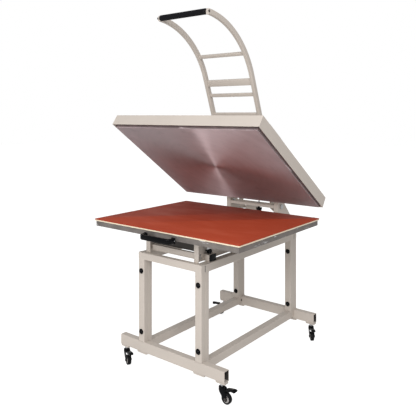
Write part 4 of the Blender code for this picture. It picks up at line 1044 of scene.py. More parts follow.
@dataclass
class Stand(Assembly):
    """What the bare tubes carry: bolts, plugs, weld beads, joint slits, and dark linings that paint the shade
    inside the foot tubes' open ends.
    """

    post_width: float = 0.042
    bolt_radius: float = 0.0145
    bolt_height: float = 0.0115
    bolt_heights: dict[str, Pair] = field(
        default_factory=lambda: {"front": (0.212, 0.5415), "rear": (0.200, 0.530)}
    )
    foot_bolt_height: float = 0.133
    front_post: float = 0.0313
    rear_post: float = 0.0433
    tube_wall: float = 0.0025
    plug_proud: float = 0.004
    foot_height: float = 0.0555
    bar_height: float = 0.038
    rail_height: float = 0.042
    lower_rail_top: float = 0.154
    lug_setback: float = 0.055
    lug_depth: float = 0.054
    lug_height: float = 0.034
    lug_face: float = 0.169
    weld_clear: float = 0.002
    bead: float = 0.0019

    def bolts(self) -> None:
        """Capped bolts through the posts, on the faces that look forward, and small ones at the feet."""
        caps, small = [], []
        for end in ENDS:
            low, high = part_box(f"{end}_upright_frame")
            foot_low, foot_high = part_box(f"{end}_foot_beam")
            for _, side in SIDES:
                x = side * (high.x - self.post_width / 2)
                face = low.y - (self.rear_post if end == "rear" else 0.0)
                caps += [((x, face, z), (0, -1, 0)) for z in self.bolt_heights[end]]
                face = foot_low.y if end == "rear" else foot_high.y
                small.append(
                    (
                        (side * (high.x - 0.040), face, self.foot_bolt_height),
                        (0, -1 if end == "rear" else 1, 0),
                    )
                )
        self.shop.fix_heads(
            "frame_bolt_caps", self.shop.dome_head(self.bolt_radius, self.bolt_height), caps,
            self.paint.black, "stand",
        )
        self.shop.fix_heads(
            "foot_bolts", self.shop.hex_head(0.010, 0.005, 0.007), small, self.paint.dark, "stand",
        )

    def plugs(self) -> None:
        """Black plugs in the open ends of the four lugs on the base plates."""
        shape = Shape()
        for name, side in SIDES:
            low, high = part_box(f"{name}_base_plate")
            outer = high.x if side > 0 else low.x
            for front in (low.y + self.lug_setback, high.y - self.lug_setback - self.lug_depth):
                for inset, start, end, corner in (
                    (0.0004, -0.0002, self.plug_proud, 0.0015), (0.0032, -0.012, 0.0, 0.0),
                ):
                    near, far = sorted((outer + side * start, outer + side * end))
                    shape.box(
                        (near, front + inset, low.z + inset),
                        (far, front + self.lug_depth - inset, low.z + self.lug_height - inset), corner,
                    )
        shape.publish("lug_plugs", self.paint.black, "stand")

    def beads(self) -> None:
        """Weld beads where posts meet bars, rails and the foot beams."""
        paths, clear = [], self.weld_clear
        for end in ENDS:
            low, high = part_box(f"{end}_upright_frame")
            for _, side in SIDES:
                inner, outer = side * (high.x - self.post_width), side * high.x
                under = high.z - self.bar_height
                paths.append([(inner, low.y + clear, under), (inner, high.y - clear, under)])
                paths.append([(inner + side * clear, low.y, low.z), (outer - side * clear, low.y, low.z)])
                paths.append([(inner + side * clear, high.y, low.z), (outer - side * clear, high.y, low.z)])
                paths.append([(inner, low.y + clear, low.z), (inner, high.y - clear, low.z)])
                paths.append([(outer, low.y + clear, low.z), (outer, high.y - clear, low.z)])
        for name, side in SIDES:
            low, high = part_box(f"{name}_side_frame")
            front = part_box("front_upright_frame")[1].y + self.front_post
            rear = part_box("rear_upright_frame")[0].y - self.rear_post
            for y in (front, rear):
                for z in (high.z - self.rail_height, self.lower_rail_top):
                    paths.append([(low.x + clear, y, z), (high.x - clear, y, z)])
            low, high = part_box(f"{name}_base_plate")
            face = side * self.lug_face
            for front in (low.y + self.lug_setback, high.y - self.lug_setback - self.lug_depth):
                top = low.z + self.lug_height
                paths.append([(face, front + clear, top), (face, front + self.lug_depth - clear, top)])
        self.shop.lay_beads("frame_weld_beads", paths, self.bead, "stand", seed=1)

    def joints(self) -> None:
        """The dark slits left open where the end frames meet the side frames."""
        shape = Shape()
        for end in ENDS:
            low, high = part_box(f"{end}_upright_frame")
            seam = high.y if end == "front" else low.y
            for _, side in SIDES:
                near, far = sorted((side * (high.x - 0.0010), side * (high.x + 0.0005)))
                shape.box(
                    (near, seam - 0.0018, high.z - self.bar_height), (far, seam + 0.0022, high.z - 0.006),
                    0.0004, 1,
                )
        shape.publish("frame_joint_slits", self.paint.slit_dark_and_tube_shade, "stand")

    def tube_shade_linings(self) -> None:
        """Dark linings inside the open ends of the foot beams: painted shade where the tube mouths fall dark."""
        shape, wall, skin, reach = Shape(), self.tube_wall, 0.0005, 0.10
        for end in ENDS:
            low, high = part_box(f"{end}_foot_beam")
            base = high.z - self.foot_height
            for _, side in SIDES:
                near, far = sorted((side * (high.x - reach), side * (high.x - 0.001)))
                y0, y1, z0, z1 = low.y + wall, high.y - wall, base + wall, high.z - wall
                # Thin dark skins on the inner walls paint the shade inside each tube mouth.
                shape.box((near, y0, z0), (far, y0 + skin, z1))
                shape.box((near, y1 - skin, z0), (far, y1, z1))
                shape.box((near, y0, z1 - skin), (far, y1, z1))
        shape.publish("foot_tube_insides", self.paint.slit_dark_and_tube_shade, "stand")

    def build(self) -> None:
        """Makes everything on the stand."""
        self.bolts()
        self.plugs()
        self.beads()
        self.joints()
        self.tube_shade_linings()


@dataclass
class Caster(Assembly):
    """One swivel caster with its brake, made at its own rest heading."""

    end: str
    side: str
    wheel_radius: float = 0.0266
    wheel_width: float = 0.020
    trail: float = 0.028

    def __post_init__(self) -> None:
        """Finds the swivel axis and heading from the joints."""
        self.prefix = f"{self.end}_{self.side}"
        self.swivel = anchor_of(f"{self.prefix}_swivel")
        axle = anchor_of(f"{self.prefix}_wheel_spin")
        self.pin = anchor_of(f"{self.prefix}_brake_pedal")
        heading = math.atan2(axle.y - self.swivel.y, axle.x - self.swivel.x)
        self.place = Matrix.Translation(
            (self.swivel.x, self.swivel.y, 0.0)
        ) @ Matrix.Rotation(heading, 4, "Z")

    def wheel(self) -> None:
        """A crowned tyre on a dished hub."""
        radius, half = self.wheel_radius, self.wheel_width / 2
        across = self.place @ Matrix.Translation((self.trail, 0, radius)) @ Matrix.Rotation(
            math.radians(-90), 4, "X",
        )
        hub = radius - 0.0083
        tread = [
            (radius - 0.0035 + 0.0035 * math.cos(a), math.copysign(half - 0.0035, a) + 0.0035 * math.sin(a))
            for a in (-1.5, -1.0, -0.5, -0.15, 0.15, 0.5, 1.0, 1.5)
        ]
        profile = [
            (hub, -half + 0.001), (hub + 0.001, -half), *tread, (hub + 0.001, half), (hub, half - 0.001),
        ]
        Shape().turned(profile, across, 32, ring=True).publish(
            f"{self.prefix}_caster_tread", self.paint.tyre, f"{self.prefix}_wheel",
            [f"{self.prefix}_caster_tyre"],
        )
        rim, face, dish = hub - 0.0002, half - 0.002, half - 0.0055
        bore = 0.0046
        side = [
            (bore, half - 0.001), (0.0072, half - 0.001), (0.0080, dish), (rim - 0.0020, dish),
            (rim - 0.0012, face), (rim, face),
        ]
        profile = side + [(r, -h) for r, h in reversed(side)]
        Shape().turned(profile, across, 32, ring=True).publish(
            f"{self.prefix}_caster_rim", self.paint.hub, f"{self.prefix}_wheel",
            [f"{self.prefix}_caster_hub"],
        )

    def fork(self) -> None:
        """The swivel head with its raceways and cheeks, the dark axle with its nuts, and the zinc stem."""
        head = self.place
        base, top = 2 * self.wheel_radius + 0.006, 0.080
        race = [
            (0.0, base), (0.0145, base), (0.0168, base + 0.0015), (0.0168, base + 0.0075),
            (0.0150, base + 0.009), (0.0150, base + 0.0102), (0.0168, base + 0.0115), (0.0165, top - 0.003),
            (0.0130, top), (0.0, top),
        ]
        shape = Shape().turned(race, head, 32)
        reach, radius = self.trail + 0.010, self.wheel_radius
        outline = rounded_outline([
            (-0.0102, base + 0.001), (-0.0102, top - 0.006), (0.0150, top - 0.005), (
                reach - 0.004, radius + 0.020,
            ),
            (reach, radius + 0.006), (reach, radius - 0.006), (reach - 0.006, radius - 0.011), (
                self.trail - 0.009, radius - 0.008,
            ),
        ], 0.006)
        upright = Matrix.Rotation(math.pi / 2, 4, "X")
        cheek = self.wheel_width / 2 + 0.002
        for flank in (-1, 1):
            near, far = sorted((flank * cheek, flank * (cheek + 0.003)))
            shape.prism(outline, -far, -near, 0.0008, head @ upright)
        shape.box(
            (-0.009, -cheek - 0.002, base - 0.001), (0.012, cheek + 0.002, base + 0.010), 0.002, place=head,
        )
        shape.publish(
            f"{self.prefix}_caster_yoke", self.paint.black, f"{self.prefix}_fork",
            [f"{self.prefix}_caster_fork"],
        )
        axle = self.place @ Matrix.Translation((self.trail, 0, radius)) @ Matrix.Rotation(
            math.radians(-90), 4, "X",
        )
        end = cheek + 0.003
        pin = Shape().turned(
            [(0.0, -end - 0.001), (0.0040, -end - 0.001), (0.0040, end + 0.001), (0.0, end + 0.001)], axle,
            16,
        )
        for flank in (-1, 1):
            nut = [
                (0.0062, flank * end), (0.0062, flank * (end + 0.0028)), (0.0045, flank * (end + 0.0036)),
                (0.0, flank * (end + 0.0036)),
            ]
            pin.turned([(0.0, flank * end), *nut], axle, 6 if flank > 0 else 20)
        pin.publish(f"{self.prefix}_caster_axle", self.paint.dark, f"{self.prefix}_fork")
        stem = [
            (0.0, top), (0.0085, top), (0.0085, top + 0.003), (0.0100, top + 0.004), (0.0100, 0.0915),
            (0.0088, 0.0926), (0.0060, 0.0926), (0.0060, 0.116), (0.0, 0.117),
        ]
        Shape().turned(stem, head, 24).publish(
            f"{self.prefix}_caster_stem", self.paint.steel, f"{self.prefix}_fork",
        )

    def pedal(self) -> None:
        """A curved tongue with a fat ribbed tip, on its pin."""
        pin = self.place @ Matrix.Translation((self.trail * 0.45 + 0.017, 0, self.pin.z))
        tip = 0.084 - self.trail * 0.45 - 0.017
        outline = rounded_outline([
            (-0.0012, -0.0015), (0.010, -0.003), (
                tip - 0.022, 0.004,
            ), (tip - 0.008, 0.002), (tip, 0.006), (tip, 0.0145),
            (tip - 0.014, 0.0150), (tip - 0.030, 0.0120), (0.0, 0.0080),
        ], 0.004)
        upright = Matrix.Rotation(math.pi / 2, 4, "X")
        shape = Shape().prism(outline, -0.0115, 0.0115, 0.0012, pin @ upright)
        for count in range(4):
            x = tip - 0.003 - count * 0.0032
            shape.box((x - 0.0007, -0.0095, 0.0135), (x + 0.0007, 0.0095, 0.0158), 0.0005, 1, pin)
        shape.publish(
            f"{self.prefix}_caster_brake", self.paint.black, f"{self.prefix}_brake",
            [f"{self.prefix}_caster_pedal"],
        )

    def build(self) -> None:
        """Makes the whole caster."""
        self.wheel()
        self.fork()
        self.pedal()


@dataclass
class Table(Assembly):
    """The pull-out table: padded bed, pull, strap screws and stops."""

    pull_bar: float = 0.0165
    soft_step: float = 0.012
    sheet_corner: float = 0.007
    stop_side: float = 0.462
    stop_half: float = 0.009
    stop_under_top: float = 0.0006

    def bed(self, node: str, name: str, paint: Paint, waver: float) -> None:
        """A soft sheet with rounded rims and an edge that wanders a little.

        Args:
            node: The CAD sheet it stands for.
            name: The piece's name.
            paint: Its finish.
            waver: How far the cut edge wanders.
        """
        low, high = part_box(node)
        thick = high.z - low.z
        rings: list[list[Point]] = []
        bulge = [(0.25 * thick, 0.0), (0.0, 0.22 * thick), (0.0, 0.78 * thick), (0.3 * thick, thick)]
        rim = self.rim(low, high)
        for inset, rise in bulge:
            ring = []
            for index, (x, y, nx, ny) in enumerate(rim):
                wave = waver * (
                    math.sin(index * 0.61) * 0.5 + math.sin(index * 0.173 + 1.0) * 0.5 - 1.0
                ) * 0.5
                ring.append((x - nx * (inset - wave), y - ny * (inset - wave), low.z + rise))
            rings.append(ring)
        piece = Shape().lofted(rings).publish(name, paint, "table", [node])

    def rim(self, low: Vector, high: Vector) -> list[tuple[float, float, float, float]]:
        """Points round a sheet's edge, each with the way out."""
        corner, made = self.sheet_corner, []
        spots = [(high.x, low.y, -90), (high.x, high.y, 0), (low.x, high.y, 90), (low.x, low.y, 180)]
        for index, (x, y, start) in enumerate(spots):
            cx, cy = x - math.copysign(corner, x), y - corner if y == high.y else y + corner
            for step in range(7):
                a = math.radians(start + 15 * step)
                made.append(
                    (cx + corner * math.cos(a), cy + corner * math.sin(a), math.cos(a), math.sin(a))
                )
            tx, ty, _ = spots[(index + 1) % 4]
            a = math.radians(start + 90)
            ex = tx - math.copysign(corner, tx) + corner * math.cos(a)
            ey = (ty - corner if ty == high.y else ty + corner) + corner * math.sin(a)
            sx, sy = made[-1][0], made[-1][1]
            if abs(math.cos(a)) > 0.5:
                ex = sx
            else:
                ey = sy
            count = max(2, int(math.hypot(ex - sx, ey - sy) / self.soft_step))
            for step in range(1, count):
                t = step / count
                made.append((sx + (ex - sx) * t, sy + (ey - sy) * t, math.cos(a), math.sin(a)))
        return made

    def pull(self) -> None:
        """A rounded D-shaped pull with its two feet, in gloss black."""
        low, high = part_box("pull_handle")
        middle = (low.z + high.z) / 2
        half, back, front = high.x - 0.009, high.y, low.y + 0.0085
        bend = 0.016
        path = [(-half, back, middle), (-half, front + bend, middle)]
        for side, start in ((-1, 180), (1, 270)):
            for step in range(1, 7):
                a = math.radians(start + 15 * step)
                path.append(
                    (side * (half - bend) + bend * math.cos(a), front + bend + bend * math.sin(a), middle)
                )
        path += [(half, front + bend, middle), (half, back, middle)]
        made = self.shop.sweep.along(
            [path], self.pull_bar, high.z - low.z - 0.003, 0.0065, self.paint.black.material,
        )
        shape = Shape().take(made)
        for _, side in SIDES:
            x = side * half
            shape.box((x - 0.0125, back - 0.006, low.z), (x + 0.0125, back - 0.0001, high.z), 0.0022)
        shape.publish("d_pull", self.paint.black, "table", ["pull_handle"])
        spots = [
            ((side * half + offset, back - 0.0062, middle), (0, -1, 0))
            for side in (-1, 1)
            for offset in (-0.0095, 0.0095)
        ]
        self.shop.fix_heads(
            "pull_screws", self.shop.pan_head(0.0022, 0.0012), spots, self.paint.steel, "table",
        )

    def fixings(self) -> None:
        """Screws through the runner straps, and rubber stops on the rear edge."""
        spots = []
        for name, _ in SIDES:
            low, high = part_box(f"{name}_slide_runner")
            inner = low.x + 0.012 if low.x > 0 else high.x - 0.012
            spots += [
                ((inner, low.y + 0.03 + i * (high.y - low.y - 0.06) / 4, high.z - 0.005), (0, 0, -1))
                for i in range(5)
            ]
        self.shop.fix_heads(
            "strap_screws", self.shop.socket_head(0.0042, 0.0035), spots, self.paint.steel, "table",
        )
        low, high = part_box("table_plate")
        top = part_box("silicone_sheet")[1].z
        shape = Shape()
        for _, side in SIDES:
            x = side * self.stop_side
            near, far = x - self.stop_half, x + self.stop_half
            shape.box(
                (near, high.y + 0.0004, low.z + 0.012), (far, high.y + 0.0145, top - self.stop_under_top),
                0.0025,
            )
        shape.publish("rear_corner_stops", self.paint.grip, "table")

    def build(self) -> None:
        """Makes everything that slides with the table."""
        self.bed("felt_pad", "felt_underlay", self.paint.felt, 0.0012)
        self.bed("silicone_sheet", "silicone_top_sheet", self.paint.silicone, 0.0008)
        self.pull()
        self.fixings()


@dataclass
class Base(Assembly):
    """Rollers, crossbar, flanges and fixings, between table and stand."""

    crossbar_drop: float = 0.018
    flange: Pair = (0.154, 0.184)
    screw_face: float = 0.1692
    screw_level: float = 0.738
    screw_inset: float = 0.008
    roller_half: float = 0.008

    def rollers(self) -> None:
        """Black rollers with a sunk face, each on its pin."""
        for end in ENDS:
            for name, side in SIDES:
                node = f"{end}_{name}_slide_roller"
                centre = anchor_of(f"{end}_{name}_roller_spin")
                place = Matrix.Translation(centre) @ Axis.X.matrix()
                wide = self.roller_half
                body = [
                    (0.0, -wide), (0.0120, -wide), (0.0130, -wide + 0.001), (0.0130, wide - 0.001),
                    (0.0120, wide), (0.0085, wide), (0.0080, wide - 0.0015), (0.0, wide - 0.0015),
                ]
                shape = Shape().turned(body if side > 0 else [(r, -h) for r, h in body], place, 32)
                low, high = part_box(node)
                near, far = low.x - centre.x, high.x - centre.x
                shape.turned([(0.0, near), (0.0040, near), (0.0040, far), (0.0, far)], place, 16)
                shape.publish(f"{end}_{name}_roller", self.paint.black, f"{end}_{name}_roller", [node])

    def crossbar(self) -> tuple[Vector, Vector]:
        """The square tube across the front of the base, low on its plates. Returns its corners."""
        low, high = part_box("front_crossbar")
        drop = Vector((0.0, 0.0, self.crossbar_drop))
        low, high = low - drop, high - drop
        shape = Shape().box(low, high, 0.0022)
        shape.publish("front_cross_tube", self.paint.coat, "stand", ["front_crossbar"])
        return low, high

    def flanges(self) -> None:
        """The folded front edges of the two base plates."""
        shape = Shape()
        for name, side in SIDES:
            low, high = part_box(f"{name}_base_plate")
            near, far = sorted((side * self.flange[0], side * self.flange[1]))
            shape.box(
                (near, low.y - 0.0030, low.z + 0.0004), (far, low.y - 0.0001, high.z - 0.0004), 0.0010, 2,
            )
        shape.publish("base_plate_flanges", self.paint.coat, "stand")

    def crossbar_screws(self, low: Vector, high: Vector) -> None:
        """Cap screws through the side plates into the crossbar.

        Args:
            low: The crossbar's lowest corner.
            high: Its highest corner.
        """
        face = self.screw_face
        spots = []
        for _, side in SIDES:
            for z in (low.z + self.screw_inset, high.z - self.screw_inset):
                spots.append(((side * face, (low.y + high.y) / 2, z), (side, 0, 0)))
            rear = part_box("left_base_plate")[1].y
            spots += [
                ((side * face, rear - 0.030 - i * 0.045, self.screw_level), (side, 0, 0))
                for i in range(2)
            ]
        self.shop.fix_heads(
            "base_plate_screws", self.shop.socket_head(0.0048, 0.0045), spots, self.paint.steel, "stand",
        )

    def build(self) -> None:
        """Makes everything on the base."""
        self.rollers()
        self.flanges()
        self.crossbar_screws(*self.crossbar())


@dataclass
class RearHinge(Assembly):
    """The adjuster, springs, shaft washers, bracket bolts and junction box behind the bed."""

    spring_turns: int = 15
    wire: float = 0.0034

    def adjuster(self) -> None:
        """A fluted cone knob on a threaded screw, with its locknut."""
        low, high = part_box("height_adjuster")
        joint = joint_of("height_adjuster_turn")
        x, y, z = joint["pos_m"]
        place = Matrix.Translation((x, y, 0.0))
        bar_low, bar_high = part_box("rear_crossbar")
        tall = 0.026
        flutes, flute_depth = 8, 0.055
        sections = ((0.0105, 0.0), (0.0126, 0.0012), (0.0205, tall - 0.002), (0.0195, tall), (0.0085, tall))
        shape = Shape().lofted([
            lobed_ring(
                radius, low.z + height, 48,
                lambda a: 1.0 - flute_depth * (0.5 + 0.5 * math.cos(a * flutes)) ** 2,
            )
            for radius, height in sections
        ], place)
        shape.turned(
            [
                (0.0, low.z + tall - 0.001), (0.0075, low.z + tall - 0.001), (0.0075, bar_low.z - 0.0004),
                (0.0, bar_low.z - 0.0004),
            ],
            place, 20,
        )
        shape.publish("adjuster_knob", self.paint.black, "adjuster", ["height_adjuster"])
        thread = [(0.0, bar_low.z - 0.001)]
        pitch, at = 0.0015, bar_low.z - 0.001
        while at < high.z - 2 * pitch:
            thread += [(0.0034, at), (0.0040, at + pitch / 2)]
            at += pitch
        thread += [(0.0034, high.z - pitch), (0.0030, high.z), (0.0, high.z)]
        metal = Shape().turned(thread, place, 16)
        metal.turned(
            [
                (0.0, bar_high.z + 0.0004), (0.0078, bar_high.z + 0.0004), (0.0078, bar_high.z + 0.0062),
                (0.0066, bar_high.z + 0.007), (0.0, bar_high.z + 0.007),
            ],
            place, 6,
        )
        metal.publish("adjuster_screw", self.paint.steel, "adjuster")

    def spring(self, name: str) -> None:
        """A close-wound spring with a hook at each end, stretching from the stand to the platen's tail."""
        low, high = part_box(f"{name}_counter_spring")
        x, y = (low.x + high.x) / 2, (low.y + high.y) / 2
        radius = (high.x - low.x) / 2 - self.wire / 2
        span = high.z - low.z
        start, end = low.z + span * 0.16, high.z - span * 0.16
        per = 16
        path = []
        loop = radius * 0.62
        for step in range(9):
            a = math.radians(-60 - 33 * step)
            path.append(
                (x + loop * math.cos(a) * 0.9, y, low.z + self.wire / 2 + loop + loop * math.sin(a))
            )
        for step in range(self.spring_turns * per + 1):
            a = 2 * math.pi * step / per
            path.append(
                (
                    x + radius * math.cos(a), y + radius * math.sin(a),
                    start + (end - start) * step / (self.spring_turns * per),
                )
            )
        for step in range(9):
            a = math.radians(-30 + 33 * step)
            path.append(
                (x + loop * math.cos(a) * 0.9, y, high.z - self.wire / 2 - loop + loop * math.sin(a))
            )
        made = self.shop.sweep.along(
            [path], self.wire, self.wire, self.wire * 0.49, self.paint.steel.material,
        )
        shape = Shape().take(made)
        mesh = shape.as_mesh(f"{name}_pull_spring")
        mesh.materials.clear()
        mesh.materials.append(self.paint.steel.material)
        mesh.shade_smooth()
        piece = bpy.data.objects.new(f"{name}_pull_spring", mesh)
        bpy.context.scene.collection.objects.link(piece)
        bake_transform(piece)
        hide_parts(f"{name}_counter_spring")
        LOG.info("piece %s between stand and platen", piece.name)

    def shaft_washers(self) -> None:
        """Washers on the main shaft inside the brackets, and the brackets' bolts."""
        pivot = anchor_of("platen_hinge")
        shape = Shape()
        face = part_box("right_pivot_bracket")[1].x
        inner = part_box("right_pivot_bracket")[0].x
        for _, side in SIDES:
            place = Matrix.Translation((0, pivot.y, pivot.z)) @ Axis.X.matrix()
            a, b = side * (inner - 0.0026), side * (inner - 0.0004)
            shape.turned([(0.0107, a), (0.0165, a), (0.0165, b), (0.0107, b)], place, 28, ring=True)
        shape.publish("shaft_washers", self.paint.steel, "stand")
        spots = []
        for _, side in SIDES:
            for y, z in ((-0.020, -0.045), (0.040, -0.120), (-0.020, -0.120), (0.080, -0.120)):
                spots.append(((side * face, pivot.y + y, pivot.z + z), (side, 0, 0)))
        self.shop.fix_heads(
            "bracket_bolts", self.shop.hex_head(0.012, 0.006, 0.009), spots, self.paint.steel, "stand",
        )

    def junction(self) -> None:
        """The junction box's lid, its screws and the ribbed gland."""
        low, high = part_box("junction_box")
        lid = Shape().box(
            (low.x + 0.004, high.y - 0.0002, low.z + 0.004),
            (high.x - 0.004, high.y + 0.0022, high.z - 0.004), 0.0009, 2,
        )
        lid.publish("junction_lid", self.paint.coat, "stand")
        spots = [
            ((x, high.y + 0.0022, z), (0, 1, 0))
            for x in (low.x + 0.011, high.x - 0.011)
            for z in (low.z + 0.011, high.z - 0.011)
        ]
        self.shop.fix_heads(
            "junction_lid_screws", self.shop.pan_head(0.0032, 0.0018), spots, self.paint.steel, "stand",
        )
        gland_low, gland_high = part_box("inlet_gland")
        centre = ((gland_low.x + gland_high.x) / 2, 0.0, (gland_low.z + gland_high.z) / 2)
        start, end = high.y + 0.0022, gland_high.y
        place = Matrix.Translation(centre) @ Axis.Y.matrix()
        bore = 0.0040
        nut = [
            (bore, start), (0.0110, start), (0.0110, start + 0.0055), (0.0100, start + 0.0062),
            (bore, start + 0.0062),
        ]
        shape = Shape().turned(nut, place, 6, ring=True)
        body = [(bore, start + 0.006), (0.0088, start + 0.006), (0.0088, start + 0.0072)]
        at = start + 0.0072
        while at < end - 0.003:
            body += [(0.0080, at), (0.0080, at + 0.0006), (0.0086, at + 0.0009), (0.0086, at + 0.0016)]
            at += 0.0018
        body += [(0.0072, end - 0.001), (0.0062, end), (bore, end)]
        shape.turned(body, place, 24, ring=True)
        shape.publish("ribbed_inlet_gland", self.paint.black, "stand", ["inlet_gland"])

    def build(self) -> None:
        """Makes everything behind the bed."""
        self.adjuster()
        for name, _ in SIDES:
            self.spring(name)
        self.shaft_washers()
        self.junction()


@dataclass
class Platen(Assembly):
    """The blanket, the cover's screws and louvres, the yoke's beads, and the knob and control box."""

    place: Matrix
    screw_pitch: float = 0.082
    yoke_span: Pair = (0.0538, 0.0938)
    arm_side: float = 0.117
    arm_half: float = 0.015
    bar_places: Pair = (-0.710, -0.490)
    lug_place: float = -0.15617

    def local(self, node: str) -> tuple[Vector, Vector]:
        """A node's lowest and highest corners, in the platen's own frame."""
        back = self.place.inverted()
        points = [back @ v.co for v in frame["nodes"][node].data.vertices]
        return Vector(
            [min(p[i] for p in points) for i in range(3)]
        ), Vector([max(p[i] for p in points) for i in range(3)])

    def world(self, x: float, y: float, z: float) -> Vector:
        """A point of the platen's own frame, in the press's frame."""
        return self.place @ Vector((x, y, z))

    def facing(self, x: float, y: float, z: float) -> Vector:
        """A direction of the platen's own frame, in the press's frame."""
        return self.place.to_3x3() @ Vector((x, y, z))

    def cover_fixings(self) -> None:
        """Pan heads round the cover's top."""
        low, high = self.local("platen_cover")
        inset = 0.016
        spots = []
        up = self.facing(0, 0, 1)
        across = int((high.x - low.x - 2 * inset) / self.screw_pitch / 1.5)
        along = int((high.y - low.y - 2 * inset) / self.screw_pitch / 1.5)
        for i in range(across + 1):
            x = low.x + inset + (high.x - low.x - 2 * inset) * i / across
            spots += [(self.world(x, y, high.z), up) for y in (low.y + inset, high.y - inset)]
        for i in range(1, along):
            y = low.y + inset + (high.y - low.y - 2 * inset) * i / along
            spots += [(self.world(x, y, high.z), up) for x in (low.x + inset, high.x - inset)]
        self.shop.fix_heads(
            "cover_screws", self.shop.pan_head(0.0038, 0.0022), spots, self.paint.steel, "platen",
        )

    def blanket(self) -> None:
        """The fibre blanket behind the element, quilted into soft squares."""
        low, high = self.local("insulation_blanket")
        wide, deep, thick = high - low
        quilt, step, sink = 0.12, 0.02, 0.0035
        across, along = int(wide / step), int(deep / step)
        part = bmesh.new()
        rows = []
        for j in range(along + 1):
            row = []
            for i in range(across + 1):
                x, y = low.x + wide * i / across, low.y + deep * j / along
                swell = abs(
                    math.sin(math.pi * (x - low.x) / quilt) * math.sin(math.pi * (y - low.y) / quilt)
                ) ** 0.4
                edge = min(i, across - i, j, along - j)
                drop = sink * (1 - swell) + (min(thick * 0.4, 0.004) if edge == 0 else 0.0)
                row.append((part.verts.new((x, y, high.z - drop)), part.verts.new((x, y, low.z))))
            rows.append(row)
        for first, second in zip(rows, rows[1:]):
            for i in range(across):
                for layer in (0, 1):
                    part.faces.new(
                        (first[i][layer], first[i + 1][layer], second[i + 1][layer], second[i][layer])
                    )
        rim = [rows[0][i] for i in range(across)] + [rows[j][across] for j in range(along)]
        rim += [rows[along][across - i] for i in range(across)] + [rows[along - j][0] for j in range(along)]
        for first, second in zip(rim, rim[1:] + rim[:1]):
            part.faces.new((first[0], second[0], second[1], first[1]))
        bmesh.ops.recalc_face_normals(part, faces=part.faces)
        shape = Shape().take(part, self.place)
        piece = shape.publish("quilted_blanket", self.paint.wool, "platen", ["insulation_blanket"])

    def heat_slots(self) -> None:
        """Two rows of raised louvres on the cover's top."""
        low, high = self.local("platen_cover")
        louvre = Shape()
        outline = [(-0.006, 0.0), (0.006, 0.0), (0.004, 0.0035), (0.001, 0.0048)]
        louvre.prism(
            outline, -0.030, 0.030, 0.0006,
            Matrix.Rotation(math.pi / 2, 4, "Z") @ Matrix.Rotation(math.pi / 2, 4, "X"),
        )
        way = self.facing(0, 0, 1)
        spots = []
        for side in (-1, 1):
            for row in range(7):
                spots.append((self.world(side * 0.38, -0.26 - row * 0.018, high.z - 0.0004), way))
        self.shop.fix_heads("cover_louvres", louvre, spots, self.paint.coat, "platen")

    def yoke_beads(self) -> None:
        """Weld beads where the yoke's bars, cheeks and lugs meet its arms."""
        bottom, top = self.yoke_span
        paths = []
        for _, side in SIDES:
            inner, outer = side * (self.arm_side - self.arm_half), side * (self.arm_side + self.arm_half)
            for middle in self.bar_places:
                for y in (middle - 0.020, middle + 0.020):
                    paths.append([self.world(inner, y, bottom + 0.005), self.world(inner, y, top - 0.005)])
                paths.append(
                    [
                        self.world(inner, middle - 0.018, top - 0.004),
                        self.world(inner, middle + 0.018, top - 0.004),
                    ]
                )
            pin_y = self.lug_place
            for y in (pin_y - 0.020, pin_y + 0.020):
                paths.append([self.world(outer, y, bottom + 0.007), self.world(outer, y, top - 0.001)])
            paths.append([self.world(outer, pin_y - 0.020, top), self.world(outer, pin_y + 0.020, top)])
        self.shop.lay_beads("yoke_weld_beads", paths, 0.0018, "platen", seed=4)
        spots = []
        up = self.facing(0, 0, 1)
        for side in (-1, 1):
            for y in (-0.660, -0.430, -0.250):
                spots.append((self.world(side * self.arm_side, y, top), up))
        self.shop.fix_heads(
            "yoke_bolts", self.shop.hex_head(0.014, 0.008, 0.0115), spots, self.paint.steel, "platen",
        )

    def pressure_wheel(self) -> None:
        """A five-lobed hand knob on its threaded screw."""
        origin = anchor_of("pressure_knob_turn")
        turn = self.place.to_3x3().to_4x4()
        place = Matrix.Translation(origin) @ turn
        lobes, lobe_depth, knob_radius = 5, 0.17, 0.0395
        sections = (
            (0.55, 0.0148), (0.94, 0.0158), (1.0, 0.019), (1.0, 0.029), (0.93, 0.0325), (0.5, 0.0330),
        )
        shape = Shape().lofted([
            lobed_ring(
                knob_radius * size, height, 60,
                lambda a: 1.0 - lobe_depth * (0.5 - 0.5 * math.cos(a * lobes)),
            )
            for size, height in sections
        ], place)
        shape.publish("pressure_hand_knob", self.paint.black, "pressure_screw", ["pressure_knob"])
        thread = [(0.0, -0.0395)]
        pitch, at = 0.0025, -0.0395
        while at < 0.012:
            thread += [(0.0088, at), (0.0100, at + pitch / 2)]
            at += pitch
        thread += [(0.0090, 0.0150), (0.0, 0.0150)]
        metal = Shape().turned(thread, place, 24)
        metal.turned([(0.0, 0.0004), (0.0150, 0.0004), (0.0150, 0.0030), (0.0, 0.0030)], place, 28)
        metal.turned(
            [(0.0, 0.0030), (0.0135, 0.0030), (0.0135, 0.0105), (0.0120, 0.0118), (0.0, 0.0118)], place, 6,
        )
        metal.turned(
            [(0.0, 0.0328), (0.0080, 0.0328), (0.0080, 0.0375), (0.0066, 0.0392), (0.0, 0.0392)], place, 6,
        )
        metal.publish("pressure_screw_thread", self.paint.steel, "pressure_screw")

